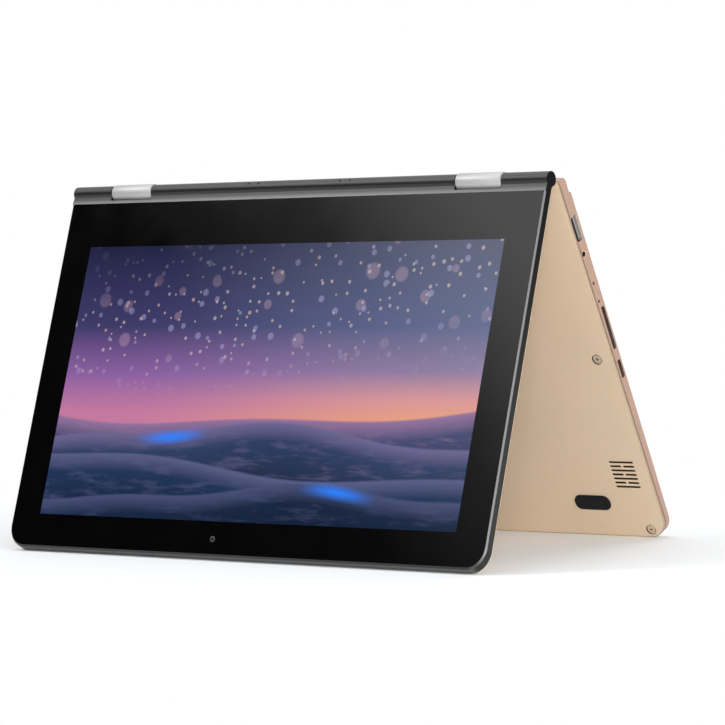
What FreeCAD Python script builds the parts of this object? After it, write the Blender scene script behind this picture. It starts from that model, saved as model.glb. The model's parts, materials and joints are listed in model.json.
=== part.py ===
import FreeCAD, Part
import math
import os
import re
import Sketcher

# A convertible laptop computer, standing folded back as a tent.
# Three modelling frames share the X axis, which runs along the hinge towards the user's left:
# deck frame: origin on the base's hinge axis, Y towards the front edge, Z out of the keyboard;
# lid frame: origin on the lid's hinge axis, Y towards the lid's far edge, Z out of its back;
# link frame: origin on the base's hinge axis, Z towards the lid's hinge axis.
# The bottom frame is the deck frame turned by the wedge angle, so that its Y follows the bottom.

doc = FreeCAD.newDocument("laptop")
sheet = doc.addObject("Spreadsheet::Sheet", "dim")

# Driving dimensions, in millimetres, degrees or counts
SIZES = [
    ("body_width", 290.0, "width of base and lid"),
    ("base_lip", 3.5, "front edge of the base past the lid's far edge"),
    ("base_rear_thickness", 8.6, "base at the hinge"),
    ("base_front_thickness", 5.4, "base at the front edge"),
    ("corner_radius", 10.0, "plan corners at the free edges"),
    ("lid_thickness", 7.0, "lid from glass to back"),
    ("screen_depth", 3.0, "lid hinge axis to glass face"),
    ("closed_gap", 0.8, "glass to deck when shut"),
    ("tablet_gap", 1.2, "lid back to bottom when folded round"),
    ("lid_lean", 19.5, "lid's lean from upright in the tent"),
    ("barrel_radius", 3.6, "round spine of the lid"),
    ("hinge_clearance", 2.0, "lid spine to base rear"),
    ("hinge_inset", 38.6, "hinge middle from the side"),
    ("cover_width", 25.4, "hinge cover along the axis"),
    ("cover_radius", 4.0, "hinge cover round ends"),
    ("cover_wall", 0.7, "hinge cover wall"),
    ("notch_depth", 4.6, "hinge notch in base and lid"),
    ("notch_side", 0.6, "hinge cover to notch side"),
    ("shaft_radius", 1.5, "hinge shafts"),
    ("shaft_play", 0.05, "shaft in its plate"),
    ("leaf_thickness", 1.0, "hinge leaves"),
    ("leaf_width", 26.0, "hinge leaves along the axis"),
    ("leaf_reach", 17.0, "hinge leaves from the axis"),
    ("leaf_gap", 0.6, "hinge leaf to the hinge cover"),
    ("leaf_hole", 1.1, "radius of the leaf's screw holes"),
    ("leaf_hole_place", 12.0, "leaf's screw holes from the axis"),
    ("link_plate", 1.2, "link plates inside the hinge cover"),
    ("washer_stack", 4.0, "friction washers on a shaft"),
    ("deck_plate", 1.0, "deck thickness"),
    ("case_wall", 1.5, "side wall thickness"),
    ("rear_wall", 1.0, "rear wall thickness"),
    ("bottom_plate", 1.4, "bottom cover thickness"),
    ("parting_gap", 0.3, "top case to bottom cover"),
    ("edge_chamfer", 0.5, "bright edge round the deck"),
    ("edge_round", 0.8, "bottom cover edge"),
    ("step_front", 6.5, "front of the step behind the deck"),
    ("step_back", 5.0, "foot of that step"),
    ("post_radius", 2.2, "screw posts"),
    ("screw_head", 2.3, "bottom screw head radius"),
    ("screw_shank", 0.9, "bottom screw shank radius"),
    ("screw_length", 2.6, "bottom screw under its head"),
    ("screw_sink", 0.7, "depth of the screw recess"),
    ("screw_play", 0.4, "screw to its hole"),
    ("screw_inset", 8.6, "outer screws from the side"),
    ("screw_clear", 6.7, "rear screws from the hinge leaf"),
    ("screw_rear", 9.6, "rear screw row"),
    ("screw_middle", 88.5, "middle screw row"),
    ("screw_edge", 4.4, "front screw row from the front edge"),
    ("foot_length", 20.0, "rubber foot along X"),
    ("foot_width", 7.6, "rubber foot along Y"),
    ("foot_height", 1.0, "rubber foot above the bottom"),
    ("foot_sink", 0.4, "rubber foot seat depth"),
    ("foot_inset", 37.1, "feet from the side"),
    ("foot_edge", 18.5, "front feet from the front edge"),
    ("foot_rear", 24.0, "rear feet"),
    ("grille_inset", 13.7, "grille middle from the side"),
    ("grille_edge", 34.5, "grille middle from the front edge"),
    ("grille_width", 13.4, "grille slots"),
    ("grille_pitch", 2.23, "grille rows"),
    ("grille_slot", 1.0, "grille slot height"),
    ("grille_rows", 7, "number of grille rows"),
    ("grille_bridge", 1.4, "bridge in the split rows"),
    ("keyboard_side", 14.5, "key field from the side"),
    ("row_pitch", 17.4, "key rows"),
    ("letter_rows", 5, "rows in front of the function keys"),
    ("key_gap", 2.6, "gap between keys"),
    ("function_depth", 8.4, "depth of the function keys"),
    ("keyboard_units", 14.5, "keyboard width in key spacings"),
    ("keyboard_rear", 13.5, "rear edge of the key field"),
    ("keyboard_margin", 0.6, "key field to its opening"),
    ("key_height", 2.2, "key cap height"),
    ("key_wall", 0.8, "key cap wall"),
    ("key_taper", 0.7, "key cap side slope"),
    ("key_corner", 1.0, "key cap corner bevel"),
    ("key_travel", 1.0, "key press"),
    ("key_proud", 0.2, "key top above the deck"),
    ("key_play", 0.4, "key cap to its boss"),
    ("keyboard_plate", 0.6, "plate under the keys"),
    ("pad_width", 104.0, "touchpad across"),
    ("pad_space", 10.5, "touchpad behind the keys"),
    ("pad_edge", 10.6, "touchpad from the front edge"),
    ("pad_thickness", 1.4, "touchpad plate"),
    ("pad_gap", 0.4, "touchpad to the deck"),
    ("pad_sink", 0.2, "touchpad below the deck"),
    ("pad_travel", 0.8, "touchpad click, with room to spare"),
    ("pad_corner", 2.5, "touchpad and keyboard opening corners"),
    ("port_inset", 0.5, "port face inside the wall"),
    ("port_wall", 0.3, "metal port shell"),
    ("usb_place", 22.5, "USB sockets from the axis"),
    ("usb_width", 13.1, "USB socket outside"),
    ("usb_height", 5.2, "USB socket outside"),
    ("usb_depth", 12.0, "USB socket"),
    ("usb_tongue", 1.6, "USB tongue thickness"),
    ("power_inlet_place", 35.6, "power inlet"),
    ("inlet_radius", 1.3, "power inlet hole"),
    ("inlet_pin", 0.35, "power inlet pin radius"),
    ("inlet_ring", 0.8, "ring round the power inlet hole"),
    ("jack_size", 4.6, "round socket housing"),
    ("jack_depth", 12.0, "round socket housing"),
    ("audio_place", 36.0, "audio socket"),
    ("audio_radius", 1.8, "audio socket bore"),
    ("video_place", 50.0, "small video socket"),
    ("video_width", 6.5, "small video socket"),
    ("video_height", 3.1, "small video socket"),
    ("card_place", 68.0, "memory card slot"),
    ("card_width", 12.0, "memory card slot"),
    ("card_height", 2.0, "memory card slot"),
    ("slim_depth", 8.0, "video and card sockets"),
    ("light_first", 50.6, "first indicator light"),
    ("light_second", 59.8, "second indicator light"),
    ("light_radius", 0.7, "indicator light"),
    ("button_height", 2.0, "side buttons"),
    ("button_proud", 0.3, "side buttons outside the wall"),
    ("button_play", 0.2, "side button in its slot"),
    ("button_flange", 1.0, "flange behind the wall"),
    ("button_stroke", 0.4, "side button travel"),
    ("rocker_place", 74.1, "volume rocker middle"),
    ("rocker_length", 21.8, "volume rocker"),
    ("power_place", 95.5, "power button middle"),
    ("power_length", 8.9, "power button"),
    ("button_board", 0.8, "board behind the buttons"),
    ("switch_height", 1.0, "switches on that board"),
    ("board_rear", 30.0, "mainboard rear edge"),
    ("board_front", 78.0, "mainboard front edge"),
    ("board_side", 19.0, "mainboard from the side"),
    ("board_thickness", 0.8, "mainboard"),
    ("board_standoff", 0.3, "mainboard above the bottom cover"),
    ("chip_inset", 3.0, "processor from the mainboard's rear edge"),
    ("chip_size", 24.0, "processor"),
    ("chip_height", 0.6, "processor"),
    ("spreader_width", 64.0, "heat spreader"),
    ("spreader_length", 26.0, "heat spreader"),
    ("spreader_thickness", 0.3, "heat spreader"),
    ("radio_width", 30.0, "wireless card"),
    ("radio_length", 22.0, "wireless card"),
    ("radio_height", 0.8, "wireless card"),
    ("cell_height", 2.5, "battery cell"),
    ("cell_clear", 3.0, "battery cell to touchpad tray and speaker"),
    ("inner_gap", 0.2, "inner pieces to their seats"),
    ("speaker_width", 20.0, "speaker"),
    ("speaker_length", 24.0, "speaker"),
    ("speaker_height", 2.6, "speaker"),
    ("rim_width", 0.8, "lid rim beside the glass"),
    ("rim_chamfer", 0.7, "slope of that rim"),
    ("far_slope", 1.1, "lean of the lid's far edge, for lifting it"),
    ("glass_near", 6.2, "lid axis to the glass"),
    ("glass_thickness", 1.0, "cover glass"),
    ("glass_fit", 0.1, "glass in its seat"),
    ("strip_drop", 0.55, "foot of the sloped strip below the glass face"),
    ("strip_start", 2.6, "where that strip leaves the spine"),
    ("panel_side", 11.0, "display panel from the side"),
    ("panel_length", 148.0, "display panel"),
    ("panel_border", 14.3, "display panel to the lid's far edge"),
    ("panel_near", 19.2, "lid axis to the display panel"),
    ("panel_thickness", 3.0, "display panel"),
    ("panel_gap", 0.4, "display panel in the frame"),
    ("camera_side", 13.7, "camera from the centre"),
    ("camera_inset", 9.0, "camera from the lid's far edge"),
    ("camera_width", 8.0, "camera module"),
    ("camera_length", 5.0, "camera module"),
    ("camera_height", 2.0, "camera module"),
    ("voice_side", 28.0, "microphone pairs from the centre"),
    ("voice_spread", 6.0, "holes of a pair"),
    ("voice_radius", 0.5, "microphone hole"),
    ("voice_depth", 2.4, "microphone hole"),
    ("voice_drop", 1.6, "microphone holes past the lid axis"),
    ("cover_near", 4.2, "lid back cover from the axis"),
    ("cover_height", 2.6, "lid back cover at its rim"),
    ("cover_skin", 1.2, "lid back cover thickness"),
    ("cover_rim", 4.4, "lid back cover rim"),
    ("bevel_drop", 2.4, "lid back bevel, across the thickness"),
    ("bevel_width", 5.0, "lid back bevel, along the back"),
]

for line, (alias, value, note) in enumerate(SIZES, start=1):
    sheet.set(f"A{line}", alias)
    sheet.set(f"B{line}", str(value))
    sheet.set(f"C{line}", note)
    sheet.setAlias(f"B{line}", alias)
doc.recompute()
ALIASES = {alias for alias, value, note in SIZES}

# Sizes that follow from the driving ones
DERIVED = {
    "axis_spacing": "((lid_thickness + base_rear_thickness + closed_gap + tablet_gap) / 2)",
    "deck_level": "(axis_spacing - screen_depth - closed_gap)",
    "port_level": "(deck_level - deck_plate - 2 * inner_gap - usb_height / 2)",
    "button_level": "(deck_level - deck_plate - inner_gap - (button_height + button_flange) / 2)",
    "lid_far": "(panel_near + panel_length + panel_border)",
    "base_front": "(lid_far + base_lip)",
    "frame_depth": "(lid_thickness - cover_height)",
    "face_far": "(lid_far - far_slope)",
    "panel_width": "(body_width - 2 * panel_side)",
    "camera_place": "(lid_far - camera_inset)",
    "hinge_place": "(body_width / 2 - hinge_inset)",
    "leaf_end": "(hinge_place - cover_width / 2 - leaf_gap - leaf_width)",
    "screw_side": "(body_width / 2 - screw_inset)",
    "screw_inner": "(leaf_end - screw_clear)",
    "screw_front": "(base_front - screw_edge)",
    "foot_side": "(body_width / 2 - foot_inset)",
    "foot_front": "(base_front - foot_edge)",
    "grille_side": "(body_width / 2 - grille_inset)",
    "grille_place": "(base_front - grille_edge)",
    "key_pitch": "((body_width - 2 * keyboard_side) / keyboard_units)",
    "keys_front": "(keyboard_rear + function_depth + letter_rows * row_pitch)",
    "pad_rear": "(keys_front + pad_space)",
    "pad_front": "(base_front - pad_edge)",
    "tray_side": "(pad_width / 2 + 3 * deck_plate)",
    "board_width": "(body_width - 2 * board_side)",
    "cell_inner": "(tray_side + cell_clear)",
    "cell_outer": "(grille_side - speaker_width / 2 - cell_clear)",
}


def spelled(text):
    """Formula with every derived size written out in driving ones."""
    words = re.compile(r"[a-z_]+")
    while any(word in DERIVED for word in words.findall(text)):
        text = words.sub(lambda word: DERIVED.get(word[0], word[0]), text)
    return text


def value_of(text):
    """Number that a size or a formula of sizes stands for."""
    return float(sheet.evalExpression(spelled(text)))


def bound(text):
    """Formula of sizes, written so that any object of the document can follow the sheet."""
    return re.sub(r"[a-z_]+", lambda word: f"dim.{word[0]}" if word[0] in ALIASES else word[0], spelled(text))


# Formulas that several pieces share
HALF = "body_width / 2"
SPACING = "axis_spacing"
DECK = "deck_level"
BOTTOM = f"({DECK} - base_rear_thickness)"
REAR = f"({SPACING} - barrel_radius - hinge_clearance)"
SLOPE = "((base_rear_thickness - base_front_thickness) / base_front)"
FLOOR = f"({BOTTOM} + bottom_plate)"
BACK = "(lid_thickness - screen_depth)"
FRAME_BACK = "(frame_depth - screen_depth)"
CAVITY_REAR = "(step_front + deck_plate)"
NOTCH_IN = "(hinge_place - cover_width / 2 - notch_side)"
NOTCH_OUT = "(hinge_place + cover_width / 2 + notch_side)"
LEAF_OUT = "(leaf_end + leaf_width)"
LEAF_IN = "leaf_end"
SHAFT_END = "(hinge_place + cover_width / 2 - cover_wall - link_plate / 2)"
KEYS_HALF = "(keyboard_units * key_pitch / 2 - key_gap / 2)"
PLATE_TOP = f"({DECK} + key_proud - key_height - key_travel - inner_gap)"
FAR_BEYOND = "60"


def parting(place):
    """Height of the line between top case and bottom cover, in the deck frame."""
    return f"({FLOOR} + parting_gap + {SLOPE} * ({place}))"


# How the tent stands: the lid's back edge and the base's rounded front edge both touch the floor
def tent_frames():
    """Placements of the lid, link, deck and bottom frames, with the whole centred over the origin."""
    lean = math.radians(value_of("lid_lean"))
    wedge = math.atan(value_of(SLOPE))
    spacing = value_of(SPACING)
    round_size = value_of("edge_round")
    lid_height = value_of("lid_far") * math.cos(lean) + value_of(f"{BACK} - bevel_drop") * math.sin(lean)
    base_height = lid_height - spacing * math.sin(lean)
    along = value_of("base_front - edge_round")
    across = value_of(f"{BOTTOM} + edge_round")
    reach = math.hypot(along, across)
    bottom_lean = math.acos((base_height - round_size) / reach) - math.atan2(across, along)
    deck_lean = bottom_lean - wedge
    nearest = (-value_of("face_far - rim_chamfer") * math.sin(lean)
               - value_of("screen_depth") * math.cos(lean))
    farthest = (spacing * math.cos(lean) + value_of("base_front - edge_chamfer") * math.sin(deck_lean)
                + value_of(DECK) * math.cos(deck_lean))
    lid_y = -(nearest + farthest) / 2
    lid_axis = FreeCAD.Vector(0, lid_y, lid_height)
    base_axis = FreeCAD.Vector(0, lid_y + spacing * math.cos(lean), base_height)

    def turned(place, angle):
        return FreeCAD.Placement(place, FreeCAD.Rotation(FreeCAD.Vector(1, 0, 0), angle))

    lid_turn = -90 - math.degrees(lean)
    deck_turn = math.degrees(deck_lean) - 90
    bottom_turn = math.degrees(bottom_lean) - 90
    return (turned(lid_axis, lid_turn), turned(base_axis, lid_turn + 180),
            turned(base_axis, deck_turn), turned(base_axis, bottom_turn))


LID_FRAME, LINK_FRAME, DECK_FRAME, BOTTOM_FRAME = tent_frames()
nodes = []


# Helpers for sketches and features
def new_body(label, placement):
    """Empty body whose label names its file."""
    body = doc.addObject("PartDesign::Body", label)
    body.Label = label
    body.Placement = placement
    nodes.append(body)
    return body


def new_sketch(body, plane="XY_Plane", lift="0"):
    """Sketch on one of the body's own origin planes, lifted along that plane's normal."""
    sketch = body.newObject("Sketcher::SketchObject", "Sketch")
    support = next(item for item in body.Origin.OriginFeatures if item.Role == plane)
    sketch.AttachmentSupport = [(support, "")]
    sketch.MapMode = "FlatFace"
    sketch.setExpression("AttachmentOffset.Base.z", bound(lift))
    return sketch


def side_sketch(body, side, inset):
    """Sketch parallel to a side wall, inset from the outside. Side 1 is the user's left."""
    return new_sketch(body, "YZ_Plane", lift=f"{side} * ({HALF} - ({inset}))")


def hold(sketch, kind, *places, text):
    """Constraint whose value follows a formula of sizes."""
    index = sketch.addConstraint(Sketcher.Constraint(kind, *places, value_of(text)))
    sketch.setExpression(f"Constraints[{index}]", bound(text))


def add_outline(sketch, corners):
    """Closed outline, counter-clockwise. A third entry is the radius of an arc to the next corner."""
    first = sketch.GeometryCount
    spots = [FreeCAD.Vector(value_of(corner[0]), value_of(corner[1]), 0) for corner in corners]
    count = len(corners)
    for number, corner in enumerate(corners):
        start = spots[number]
        end = spots[(number + 1) % count]
        if len(corner) == 2:
            sketch.addGeometry(Part.LineSegment(start, end), False)
            continue
        radius = value_of(corner[2])
        half_chord = (end - start) / 2
        inward = FreeCAD.Vector(-half_chord.y, half_chord.x, 0).normalize()
        rise = math.sqrt(max(radius ** 2 - half_chord.Length ** 2, 0))
        centre = start + half_chord + inward * rise
        circle = Part.Circle(centre, FreeCAD.Vector(0, 0, 1), radius)
        angles = [math.atan2(spot.y - centre.y, spot.x - centre.x) for spot in (start, end)]
        sketch.addGeometry(Part.ArcOfCircle(circle, *angles), False)
    for number, corner in enumerate(corners):
        here = first + number
        after = first + (number + 1) % count
        sketch.addConstraint(Sketcher.Constraint("Coincident", here, 2, after, 1))
        hold(sketch, "DistanceX", here, 1, text=corner[0])
        hold(sketch, "DistanceY", here, 1, text=corner[1])
        if len(corner) == 3:
            hold(sketch, "Radius", here, text=corner[2])


def add_rectangle(sketch, left, right, low, high, low_round=None, high_round=None):
    """Rectangle whose low and high corners may be rounded."""
    corners = []
    if low_round:
        corners += [(f"{left} + {low_round}", low), (f"{right} - {low_round}", low, low_round),
                    (right, f"{low} + {low_round}")]
    else:
        corners += [(left, low), (right, low)]
    if high_round:
        corners += [(right, f"{high} - {high_round}", high_round), (f"{right} - {high_round}", high),
                    (f"{left} + {high_round}", high, high_round), (left, f"{high} - {high_round}")]
    else:
        corners += [(right, high), (left, high)]
    if low_round:
        corners += [(left, f"{low} + {low_round}", low_round)]
    add_outline(sketch, corners)


def add_circle(sketch, across, along, radius):
    """Circle with its centre and radius held by formulas."""
    centre = FreeCAD.Vector(value_of(across), value_of(along), 0)
    circle = sketch.addGeometry(Part.Circle(centre, FreeCAD.Vector(0, 0, 1), value_of(radius)), False)
    hold(sketch, "DistanceX", circle, 3, text=across)
    hold(sketch, "DistanceY", circle, 3, text=along)
    hold(sketch, "Radius", circle, text=radius)


def add_stadium(sketch, radius):
    """Link outline: two round ends, one about each hinge axis."""
    add_outline(sketch, [(radius, "0"), (radius, SPACING, radius), ("0", f"{SPACING} + {radius}", radius),
                         (f"-({radius})", SPACING), (f"-({radius})", "0", radius),
                         ("0", f"-({radius})", radius)])


def pad(body, sketch, length, towards_minus=False, both_ways=False):
    """Solid made by pushing a sketch along its normal."""
    feature = body.newObject("PartDesign::Pad", "Pad")
    feature.Profile = sketch
    feature.setExpression("Length", bound(length))
    feature.Reversed = towards_minus
    feature.SideType = "Symmetric" if both_ways else "One side"
    doc.recompute()
    return feature


def pocket(body, sketch, length=None, towards_plus=False):
    """Cut made by pushing a sketch against its normal, right through where no length is given."""
    before = body.Shape.Volume
    feature = body.newObject("PartDesign::Pocket", "Pocket")
    feature.Profile = sketch
    if length:
        feature.setExpression("Length", bound(length))
    else:
        feature.Type = "ThroughAll"
    feature.Reversed = towards_plus
    doc.recompute()
    if body.Shape.Volume > before - 1e-6:
        raise RuntimeError(f"a pocket of {body.Label} cuts nothing")
    return feature


def edges_where(body, test):
    """Names of the edges whose points all pass a test."""
    names = []
    for number, edge in enumerate(body.Tip.Shape.Edges, start=1):
        points = [vertex.Point for vertex in edge.Vertexes] + [edge.valueAt(
            (edge.FirstParameter + edge.LastParameter) / 2)]
        if all(test(point) for point in points):
            names.append(f"Edge{number}")
    return names


def dress(body, kind, names, **sizes):
    """Fillet or chamfer on named edges."""
    before = body.Tip
    feature = body.newObject(f"PartDesign::{kind}", kind)
    feature.Base = (before, names)
    for key, text in sizes.items():
        feature.setExpression(key, bound(text))
    doc.recompute()
    return feature


def add_group(label, solids, placement):
    """Node that holds one solid or several alike."""
    feature = doc.addObject("Part::Feature", label)
    feature.Label = label
    feature.Shape = solids[0] if len(solids) == 1 else Part.makeCompound(solids)
    feature.Placement = placement
    nodes.append(feature)
    return feature


def near(number, text):
    """True where a coordinate lies on the place that a formula gives."""
    return abs(number - value_of(text)) < 1e-4


def add_notches(sketch):
    """Outlines of the two hinge notches."""
    for left, right in ((NOTCH_IN, NOTCH_OUT), (f"-{NOTCH_OUT}", f"-{NOTCH_IN}")):
        add_rectangle(sketch, left, right, f"-{FAR_BEYOND}", "notch_depth")


# Base shells
LEFT_SOCKETS = [("usb_place", "usb_width", "usb_height")]
RIGHT_SOCKETS = LEFT_SOCKETS + [("video_place", "video_width", "video_height"),
                                ("card_place", "card_width", "card_height")]


def make_top_case():
    """Deck with the side walls: wedge profile, rounded rear, openings for keys, pad, ports and buttons."""
    body = new_body("top_case", DECK_FRAME)
    profile = new_sketch(body, "YZ_Plane")
    rear_low = parting("0")
    add_outline(profile, [
        ("base_front", parting("base_front")), ("base_front", DECK), ("step_front", DECK),
        ("step_back", REAR), ("0", REAR, REAR),
        (f"-sqrt({REAR} ^ 2 - {rear_low} ^ 2)", rear_low), ("0", rear_low)])
    pad(body, profile, "body_width", both_ways=True)
    dress(body, "Fillet", edges_where(body, lambda p: near(abs(p.x), HALF) and near(p.y, "base_front")),
          Radius="corner_radius")
    dress(body, "Chamfer", edges_where(body, lambda p: near(p.z, DECK) and p.y > value_of("step_front") - 1
                                       and not near(p.y, "step_front")
                                       or near(p.z, DECK) and near(abs(p.x), HALF)),
          Size="edge_chamfer")
    inside = new_sketch(body, lift=f"{DECK} - deck_plate")
    add_rectangle(inside, f"case_wall - {HALF}", f"{HALF} - case_wall", CAVITY_REAR,
                  "base_front - case_wall", high_round="(corner_radius - case_wall)")
    pocket(body, inside)
    shared = f"{CAVITY_REAR} + deck_plate"
    inner = f"({REAR} - rear_wall)"
    below = f"{rear_low} - inner_gap"
    for left, right in ((f"-{NOTCH_IN}", NOTCH_IN), (f"({NOTCH_OUT} + deck_plate)", f"({HALF} - case_wall)"),
                        (f"(case_wall - {HALF})", f"-({NOTCH_OUT} + deck_plate)")):
        spine = new_sketch(body, "YZ_Plane", lift=left)
        add_outline(spine, [(shared, below), (shared, inner), ("0", inner, inner), (f"-{inner}", "0"),
                            (f"-{inner}", below)])
        pocket(body, spine, f"{right} - ({left})", towards_plus=True)
    notches = new_sketch(body, lift=FAR_BEYOND)
    add_notches(notches)
    pocket(body, notches)
    openings = new_sketch(body, lift=DECK)
    add_rectangle(openings, f"-({KEYS_HALF} + keyboard_margin)", f"{KEYS_HALF} + keyboard_margin",
                  "keyboard_rear - keyboard_margin", "keys_front + keyboard_margin",
                  "pad_corner", "pad_corner")
    add_rectangle(openings, "-(pad_width / 2 + pad_gap)", "pad_width / 2 + pad_gap",
                  "pad_rear - pad_gap", "pad_front + pad_gap", "pad_corner", "pad_corner")
    pocket(body, openings, "2 * deck_plate")
    left_wall = side_sketch(body, 1, "0")
    add_socket_slot(left_wall, "usb_place", "usb_width", "usb_height")
    add_circle(left_wall, "power_inlet_place", "port_level", "inlet_radius + inlet_ring")
    add_circle(left_wall, "light_first", "port_level", "light_radius + shaft_play")
    add_circle(left_wall, "light_second", "port_level", "light_radius + shaft_play")
    for place, length in (("rocker_place", "rocker_length"), ("power_place", "power_length")):
        add_port_slot(left_wall, place, "button_level", f"{length} + 2 * button_play",
                      "button_height + 2 * button_play")
    pocket(body, left_wall, "2 * case_wall")
    right_wall = side_sketch(body, -1, "0")
    for place, width, height in RIGHT_SOCKETS:
        add_socket_slot(right_wall, place, width, height)
    add_circle(right_wall, "audio_place", "port_level", "audio_radius + port_wall")
    pocket(body, right_wall, "2 * case_wall", towards_plus=True)
    for side, sockets in ((1, LEFT_SOCKETS), (-1, RIGHT_SOCKETS)):
        room = side_sketch(body, side, "port_inset")
        for place, width, height in sockets:
            add_rectangle(room, f"{place} - {width} / 2 - shaft_play", f"{place} + {width} / 2 + shaft_play",
                          BOTTOM, f"port_level + {height} / 2 + shaft_play")
        pocket(body, room, "case_wall", towards_plus=side < 0)
    for row, columns in (("screw_rear", ("screw_inner", "-screw_inner")),
                         ("screw_middle", ("screw_side", "-screw_side")),
                         ("screw_front", ("screw_side", "0", "-screw_side"))):
        posts = new_sketch(body, lift=f"{DECK} - deck_plate")
        for column in columns:
            add_circle(posts, column, row, "post_radius")
        pad(body, posts, f"{DECK} - deck_plate - {parting(row)} - inner_gap", towards_minus=True)
        holes = new_sketch(body, lift=f"{FLOOR} - screw_length")
        for column in columns:
            add_circle(holes, column, row, "screw_shank + screw_play / 2")
        pocket(body, holes, f"{parting(row)} - {FLOOR} + 2 * screw_length", towards_plus=True)


def add_port_slot(sketch, place, level, length, height):
    """Opening in a side wall, with its small corners rounded by a quarter of its height."""
    add_rectangle(sketch, f"{place} - ({length}) / 2", f"{place} + ({length}) / 2",
                  f"{level} - ({height}) / 2", f"{level} + ({height}) / 2",
                  f"(({height}) / 4)", f"(({height}) / 4)")


def add_socket_slot(sketch, place, width, height):
    """Opening in a side wall as large as the inside of a socket's metal shell."""
    add_port_slot(sketch, place, "port_level", f"{width} - 2 * port_wall", f"{height} - 2 * port_wall")


SCREW_PLACES = [(f"{side} * {column}", row) for side in ("1", "-1")
                for column, row in (("screw_inner", "screw_rear"), ("screw_side", "screw_middle"),
                                    ("screw_side", "screw_front"))] + [("0", "screw_front")]
FOOT_PLACES = [(f"{side} * foot_side", row) for side in ("1", "-1") for row in ("foot_front", "foot_rear")]


def make_bottom_cover():
    """Thin plate with a rounded edge, hinge notches, grilles, foot seats and screw recesses."""
    body = new_body("bottom_cover", BOTTOM_FRAME)
    outline = new_sketch(body, lift=BOTTOM)
    add_rectangle(outline, f"-{HALF}", HALF, f"edge_round / 2 - {REAR}", "base_front",
                  high_round="corner_radius")
    pad(body, outline, "bottom_plate")
    dress(body, "Fillet", edges_where(body, lambda p: near(p.z, BOTTOM)), Radius="edge_round")
    notches = new_sketch(body, lift=FAR_BEYOND)
    add_notches(notches)
    pocket(body, notches)
    grilles = new_sketch(body, lift=BOTTOM)
    rows = int(value_of("grille_rows"))
    for side in ("1", "-1"):
        middle = f"({side} * grille_side)"
        for row in range(rows):
            low = f"(grille_place + ({row} - (grille_rows - 1) / 2) * grille_pitch - grille_slot / 2)"
            ends = [(f"{middle} - grille_width / 2", f"{middle} + grille_width / 2")]
            if row % 2:
                ends = [(f"{middle} - grille_width / 2", f"{middle} - grille_bridge / 2"),
                        (f"{middle} + grille_bridge / 2", f"{middle} + grille_width / 2")]
            for left, right in ends:
                add_rectangle(grilles, left, right, low, f"{low} + grille_slot")
    pocket(body, grilles, towards_plus=True)
    seats = new_sketch(body, lift=BOTTOM)
    for across, along in FOOT_PLACES:
        add_foot_outline(seats, across, along, "inner_gap / 2")
    pocket(body, seats, "foot_sink", towards_plus=True)
    recesses = new_sketch(body, lift=BOTTOM)
    for across, along in SCREW_PLACES:
        add_circle(recesses, across, along, "screw_head + screw_play")
    pocket(body, recesses, "screw_sink", towards_plus=True)
    holes = new_sketch(body, lift=BOTTOM)
    for across, along in SCREW_PLACES:
        add_circle(holes, across, along, "screw_shank + screw_play / 2")
    pocket(body, holes, towards_plus=True)


def add_foot_outline(sketch, across, along, spare):
    """Long rounded outline of a foot or of its seat."""
    rounding = f"(foot_width / 2 - inner_gap + {spare})"
    add_rectangle(sketch, f"{across} - foot_length / 2 - {spare}", f"{across} + foot_length / 2 + {spare}",
                  f"{along} - foot_width / 2 - {spare}", f"{along} + foot_width / 2 + {spare}",
                  rounding, rounding)


def make_feet():
    """Four rubber feet, glued into seats in the bottom cover."""
    body = new_body("rubber_feet", BOTTOM_FRAME)
    outline = new_sketch(body, lift=f"{BOTTOM} - foot_height")
    for across, along in FOOT_PLACES:
        add_foot_outline(outline, across, along, "0")
    pad(body, outline, "foot_height + foot_sink")
    dress(body, "Chamfer", edges_where(body, lambda p: near(p.z, f"{BOTTOM} - foot_height")),
          Size="foot_sink")


def make_bottom_screws():
    """Flat-headed screws that hold the bottom cover to the posts of the top case."""
    body = new_body("bottom_screws", BOTTOM_FRAME)
    heads = new_sketch(body, lift=f"{BOTTOM} + screw_sink")
    shanks = new_sketch(body, lift=f"{BOTTOM} + screw_sink")
    for across, along in SCREW_PLACES:
        add_circle(heads, across, along, "screw_head")
        add_circle(shanks, across, along, "screw_shank")
    pad(body, heads, "screw_sink - inner_gap", towards_minus=True)
    pad(body, shanks, "screw_length")


# Keyboard
def key_rows():
    """Each key row from the rear: node name, depth, and the keys as (node or None, width in spacings)."""
    function_keys = 14
    function_key = value_of("keyboard_units") / function_keys
    letter = (None, 1.0)
    return [
        ("key_row_function", "function_depth", [(None, function_key)] * function_keys),
        ("key_row_numbers", "row_pitch", [letter] * 13 + [("backspace_key", 1.5)]),
        ("key_row_upper", "row_pitch", [("tab_key", 1.5)] + [letter] * 13),
        ("key_row_home", "row_pitch", [("caps_lock_key", 1.75)] + [letter] * 11 + [("enter_key", 1.75)]),
        ("key_row_lower", "row_pitch", [("left_shift_key", 2.25)] + [letter] * 11 + [(None, 1.25)]),
        ("key_row_bottom", "row_pitch", [letter] * 4 + [("space_bar", 5.5)] + [letter] * 5),
    ]


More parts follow.
